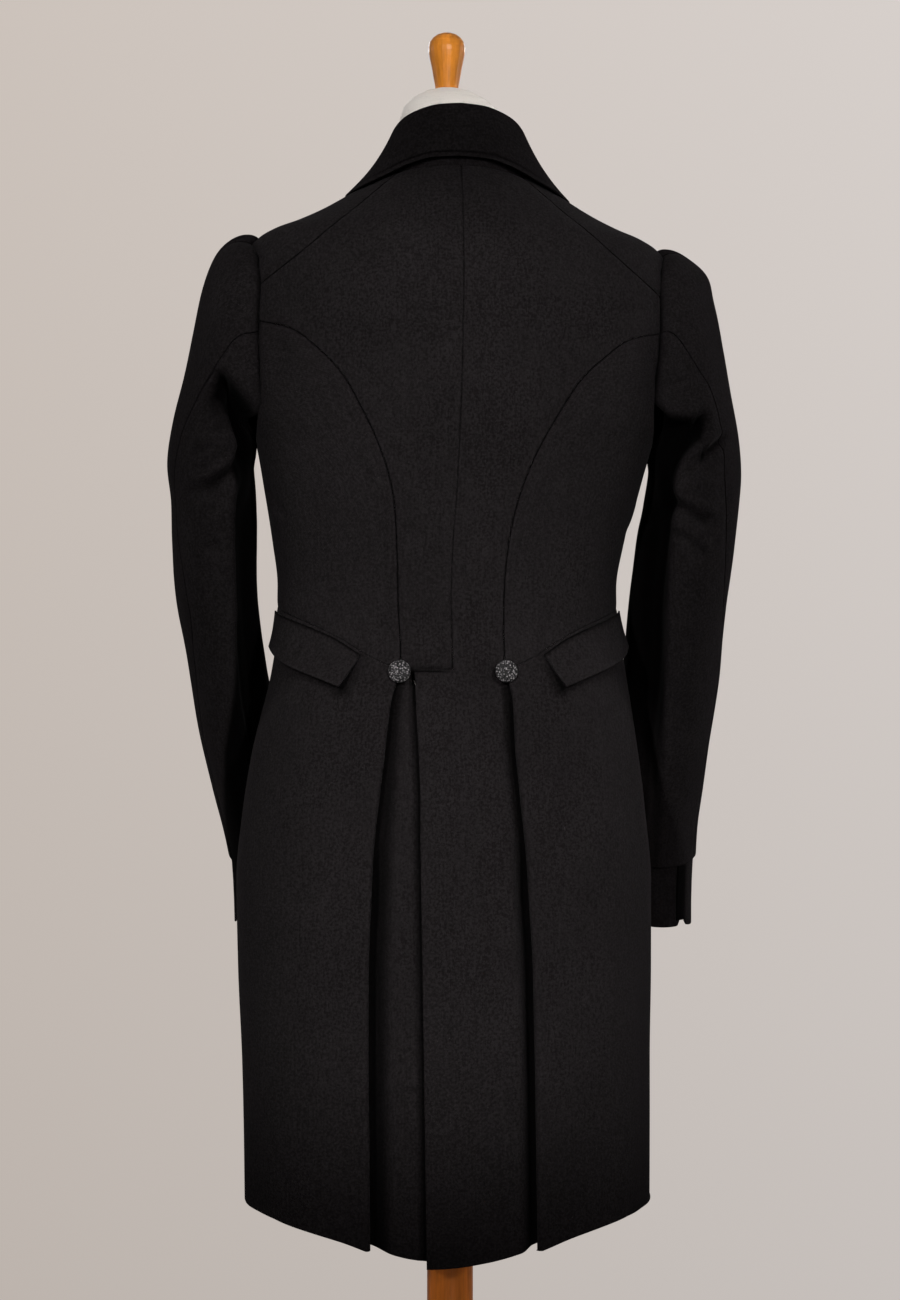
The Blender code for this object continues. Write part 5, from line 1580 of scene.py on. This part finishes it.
# Lamps' colours, then each lamp: name, its power in the studio and its share of that, place, aim, size,
# colour and the width of its beam in degrees, where 0 is the studio's own key spread
DAYLIGHT = (1.0, 0.985, 0.97)
WARM = (1.0, 0.97, 0.94)
ROSY = (1.0, 0.97, 0.965)
DUSK = (1.0, 0.96, 0.95)
KEY_AIM = (0.005, -0.03, 1.005)
FRONT_AIM = (0.0, 0.0, 1.08)
SIDE_AIM = (0.0, 0.05, 1.08)
LAMPS = [
    ("key_left", "key_power", 0.5, (-1.2, -2.7, 1.95), KEY_AIM, (0.4, 0.88), DAYLIGHT, 0),
    ("key_right", "key_power", 0.5, (1.4, -2.7, 1.95), KEY_AIM, (0.4, 0.88), DAYLIGHT, 0),
    ("head_light", "head_power", 1.0, (0.25, -2.7, 1.9), (0.0, 0.0, 1.6), (0.22, 0.1), DAYLIGHT, 4.5),
    ("foot_light", "foot_power", 1.0, (0.3, -2.2, 0.5), (0.0, 0.0, 0.22), (0.3, 0.2), WARM, 9),
    ("front_left", "front_power", 0.5, (-0.9, 2.7, 1.9), FRONT_AIM, (0.55, 0.8), DAYLIGHT, 12),
    ("front_right", "front_power", 0.5, (0.9, 2.7, 1.9), FRONT_AIM, (0.55, 0.8), DAYLIGHT, 12),
    ("side_left", "side_pair_power", 0.4, (-2.6, 1.15, 1.6), SIDE_AIM, (0.5, 0.85), ROSY, 9),
    ("side_right", "side_pair_power", 0.6, (2.6, 1.15, 1.6), SIDE_AIM, (0.5, 0.85), ROSY, 9),
    ("side_light", "side_power", 1.0, (2.4, 0.5, 1.8), (0.1, 0.0, 1.25), (0.8, 1.4), DUSK, 180),
]
# The walls' colours to the left, to the right and behind the coat
WALL_LEFT = (0.53, 0.465, 0.415)
WALL_RIGHT = (0.67, 0.63, 0.61)
WALL_BEHIND = (0.2, 0.19, 0.185)


def finishes():
    """The finishes, made once and kept by name."""
    colours = bpy.context.scene.tailcoat_colours
    if "wool_nap" not in bpy.data.materials:
        dark, light = tuple(colours.wool_dark), tuple(colours.wool_light)
        wool("wool_nap", dark, light, colours.sheen)
        wool("wool_collar", tinted(0.8, dark), tinted(0.8, light), colours.sheen)
        # The thread's two tones: painted shade between the threads and painted glints on their crests
        woven_thread("woven_thread", tinted(0.06, colours.thread), tinted(3.6, colours.thread))
        calico("cotton_cover", tinted(0.86, colours.cotton), tuple(colours.cotton))
        knob, pole = colours.knob, colours.pole
        varnished("knob_varnish", tinted(0.62, knob), tinted(1.15, knob), (1.0, 1.0, 0.16), 0.12)
        varnished("pole_varnish", tinted(0.5, pole), tinted(1.3, pole), (1.0, 1.0, 0.1), 0.1)
    return bpy.data.materials


class TailcoatOperator:
    """What the operators share: giving made pieces their finish."""
    bl_options = {"REGISTER", "UNDO"}

    def finish_with(self, names, material):
        for name in names:
            if name not in bpy.data.objects:
                raise RuntimeError(f"{name} wasn't made")
            cover(bpy.data.objects[name], finishes()[material])
        return {"FINISHED"}

    def make_pairs(self, *kinds):
        """Make each kind of cloth piece at the left and at the right, and give it the wool."""
        for side, tag in TAGS.items():
            for kind, make, *rest in kinds:
                make(f"{kind}_{tag}", side, *rest)
                self.finish_with([f"{kind}_{tag}.cloth"], "wool_nap")
        return {"FINISHED"}


class BodyOperator(TailcoatOperator, bpy.types.Operator):
    """Make the backs with their centre tails, the side bodies and the fronts"""
    bl_idname = "tailcoat.body"
    bl_label = "Body panels"

    def execute(self, context):
        return self.make_pairs(("back", back_panel), ("side_body", side_panel), ("front", front_panel))


class CollarOperator(TailcoatOperator, bpy.types.Operator):
    """Make the folded collar and the turned lapels"""
    bl_idname = "tailcoat.collar"
    bl_label = "Collar and lapels"

    def execute(self, context):
        collar_panel()
        self.finish_with(["collar.cloth"], "wool_collar")
        return self.make_pairs(("lapel", lapel_panel))


class TailsOperator(TailcoatOperator, bpy.types.Operator):
    """Make the side skirts with their pleats, and the pocket flaps"""
    bl_idname = "tailcoat.tails"
    bl_label = "Skirts and flaps"

    def execute(self, context):
        return self.make_pairs(("skirt", skirt_panel), ("flap", flap_panel))


class SleevesOperator(TailcoatOperator, bpy.types.Operator):
    """Make the two-piece sleeves and their cuffs"""
    bl_idname = "tailcoat.sleeves"
    bl_label = "Sleeves and cuffs"

    def execute(self, context):
        return self.make_pairs(("top_sleeve", sleeve_panel, ARM_STATIONS[0], HIND_STATION),
                               ("under_sleeve", sleeve_panel, HIND_STATION, ARM_STATIONS[-1]),
                               ("cuff", cuff_panel))


class ButtonsOperator(TailcoatOperator, bpy.types.Operator):
    """Make the covered buttons at the waist and down the front"""
    bl_idname = "tailcoat.buttons"
    bl_label = "Covered buttons"

    def execute(self, context):
        made = []
        for side, tag in TAGS.items():
            angle = float(rear_angle(*HIP_BUTTON))
            made.append(fine_button(f"hip_button_{tag}", angle, HIP_BUTTON[1], HIP_BUTTON_SEAT, side))
        for number, (height, seat) in enumerate(FRONT_BUTTONS, start=1):
            made.append(fine_button(f"front_button_{number}", 180.0, height, seat, -1))
        return self.finish_with([button.name for button in made], "woven_thread")


def form_cover(node, sharp):
    """Cotton cover of the form: the solid's own points as one smooth skin, with its sharp edges kept."""
    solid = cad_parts[node]
    points = np.empty(len(solid.data.vertices) * 3)
    solid.data.vertices.foreach_get("co", points)
    place = np.array(solid.matrix_world)
    points = points.reshape(-1, 3) @ place[:3, :3].T + place[:3, 3]
    solid.data.calc_loop_triangles()
    corners = np.empty(len(solid.data.loop_triangles) * 3, dtype=np.int32)
    solid.data.loop_triangles.foreach_get("vertices", corners)
    points, index = np.unique(np.round(points, 6), axis=0, return_inverse=True)
    obj = piece_object(f"{node}.cover", points, index.reshape(-1)[corners].reshape(-1, 3))
    obj.data.set_sharp_from_angle(angle=math.radians(sharp))
    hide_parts(node)
    return dressed(obj)


class FormOperator(TailcoatOperator, bpy.types.Operator):
    """Finish the dress form, its knob, pole and base"""
    bl_idname = "tailcoat.form"
    bl_label = "Dress form and stand"

    def execute(self, context):
        finish = {"neck_knob": "knob_varnish", "pole": "pole_varnish", "stand_base": "pole_varnish"}
        for node, material in finish.items():
            cover(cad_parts[node], finishes()[material])
        cover(form_cover("form_body", SHARP_DEGREES), finishes()["cotton_cover"])
        return {"FINISHED"}


class StageOperator(TailcoatOperator, bpy.types.Operator):
    """Make the floor, the soft lights, the pale surroundings and the camera"""
    bl_idname = "tailcoat.stage"
    bl_label = "Studio"

    def execute(self, context):
        studio = context.scene.tailcoat_studio
        around = np.radians(np.linspace(0, 360, 128, endpoint=False))
        ring = np.stack((np.cos(around), np.sin(around), 0 * around), axis=-1) * studio.floor_radius
        ring[:, 2] = FLOOR_HEIGHT
        mesh = bpy.data.meshes.new("studio_floor")
        mesh.from_pydata(ring.tolist(), [], [tuple(range(len(ring)))])
        floor = bpy.data.objects.new("studio_floor", mesh)
        context.scene.collection.objects.link(floor)
        cover(floor, plain_paper("studio_paper", FLOOR_TONE))
        for name, power, share, place, aim, size, colour, spread in LAMPS:
            lamp = self.light(context, name, place, aim, size, getattr(studio, power) * share, colour)
            lamp.spread = math.radians(spread or studio.key_spread)
        context.scene.view_settings.view_transform = "Standard"
        self.surroundings(context)
        camera = bpy.data.cameras.new("camera")
        camera.sensor_width = SENSOR
        camera.lens = SENSOR * studio.camera_distance / (PHOTO_ROWS * PIXEL * MM)
        camera.clip_start = 0.05
        camera.clip_end = 50.0
        holder = bpy.data.objects.new("camera", camera)
        holder.location = (0.0, -studio.camera_distance, studio.camera_height)
        holder.rotation_euler = (math.pi / 2, 0.0, 0.0)
        context.scene.collection.objects.link(holder)
        context.scene.camera = holder
        return {"FINISHED"}

    def light(self, context, name, place, aim, size, power, colour):
        """Area light of a size in metres, turned towards a point."""
        lamp = bpy.data.lights.new(name, "AREA")
        lamp.shape = "RECTANGLE"
        lamp.size, lamp.size_y = size
        lamp.energy = power
        lamp.color = colour
        holder = bpy.data.objects.new(name, lamp)
        holder.location = place
        towards = np.array(place) - np.array(aim)
        flat = math.hypot(towards[0], towards[1])
        holder.rotation_euler = (math.atan2(flat, towards[2]), 0.0, math.atan2(towards[0], -towards[1]))
        holder.visible_camera = False
        context.scene.collection.objects.link(holder)
        return lamp

    def surroundings(self, context):
        """Pale walls all round, a little brighter to the right and in front of the camera."""
        world = bpy.data.worlds.new("pale_walls")
        context.scene.world = world
        world.use_nodes = True
        walls = Nodes(world.node_tree)
        towards = walls.add("ShaderNodeTexCoord").outputs["Generated"]
        split = walls.add("ShaderNodeSeparateXYZ", Vector=towards)
        right = walls.math("MULTIPLY_ADD", split.outputs["X"], 1.6, 0.5)
        ahead = walls.math("MULTIPLY_ADD", split.outputs["Y"], 8.0, -6.6)
        tone = walls.mix(ahead, WALL_BEHIND, walls.mix(right, WALL_LEFT, WALL_RIGHT))
        fall = walls.math("MULTIPLY_ADD", split.outputs["Z"], 0.4, 0.98)
        walls.put_all(world.node_tree.nodes["Background"], {"Color": tone, "Strength": fall})


class TailcoatPanel(bpy.types.Panel):
    bl_idname = "VIEW3D_PT_tailcoat"
    bl_label = "Regency Tailcoat"
    bl_space_type = "VIEW_3D"
    bl_region_type = "UI"
    bl_category = "Tailcoat"

    def draw(self, context):
        for group in (context.scene.tailcoat_colours, context.scene.tailcoat_studio):
            for name in group.bl_rna.properties.keys():
                if name not in ("rna_type", "name"):
                    self.layout.prop(group, name)
        for operator in OPERATORS:
            self.layout.operator(operator.bl_idname)


OPERATORS = (BodyOperator, CollarOperator, TailsOperator, SleevesOperator, ButtonsOperator, FormOperator,
             StageOperator)


GROUPS = (TailcoatColours, TailcoatStudio)


def register():
    for kind in (*GROUPS, *OPERATORS, TailcoatPanel):
        bpy.utils.register_class(kind)
    bpy.types.Scene.tailcoat_colours = bpy.props.PointerProperty(type=TailcoatColours)
    bpy.types.Scene.tailcoat_studio = bpy.props.PointerProperty(type=TailcoatStudio)


def unregister():
    del bpy.types.Scene.tailcoat_studio
    del bpy.types.Scene.tailcoat_colours
    for kind in reversed((*GROUPS, *OPERATORS, TailcoatPanel)):
        bpy.utils.unregister_class(kind)


def main():
    register()
    for operator in OPERATORS:
        group, _, name = operator.bl_idname.partition(".")
        getattr(getattr(bpy.ops, group), name)()


if __name__ == "__main__":
    main()
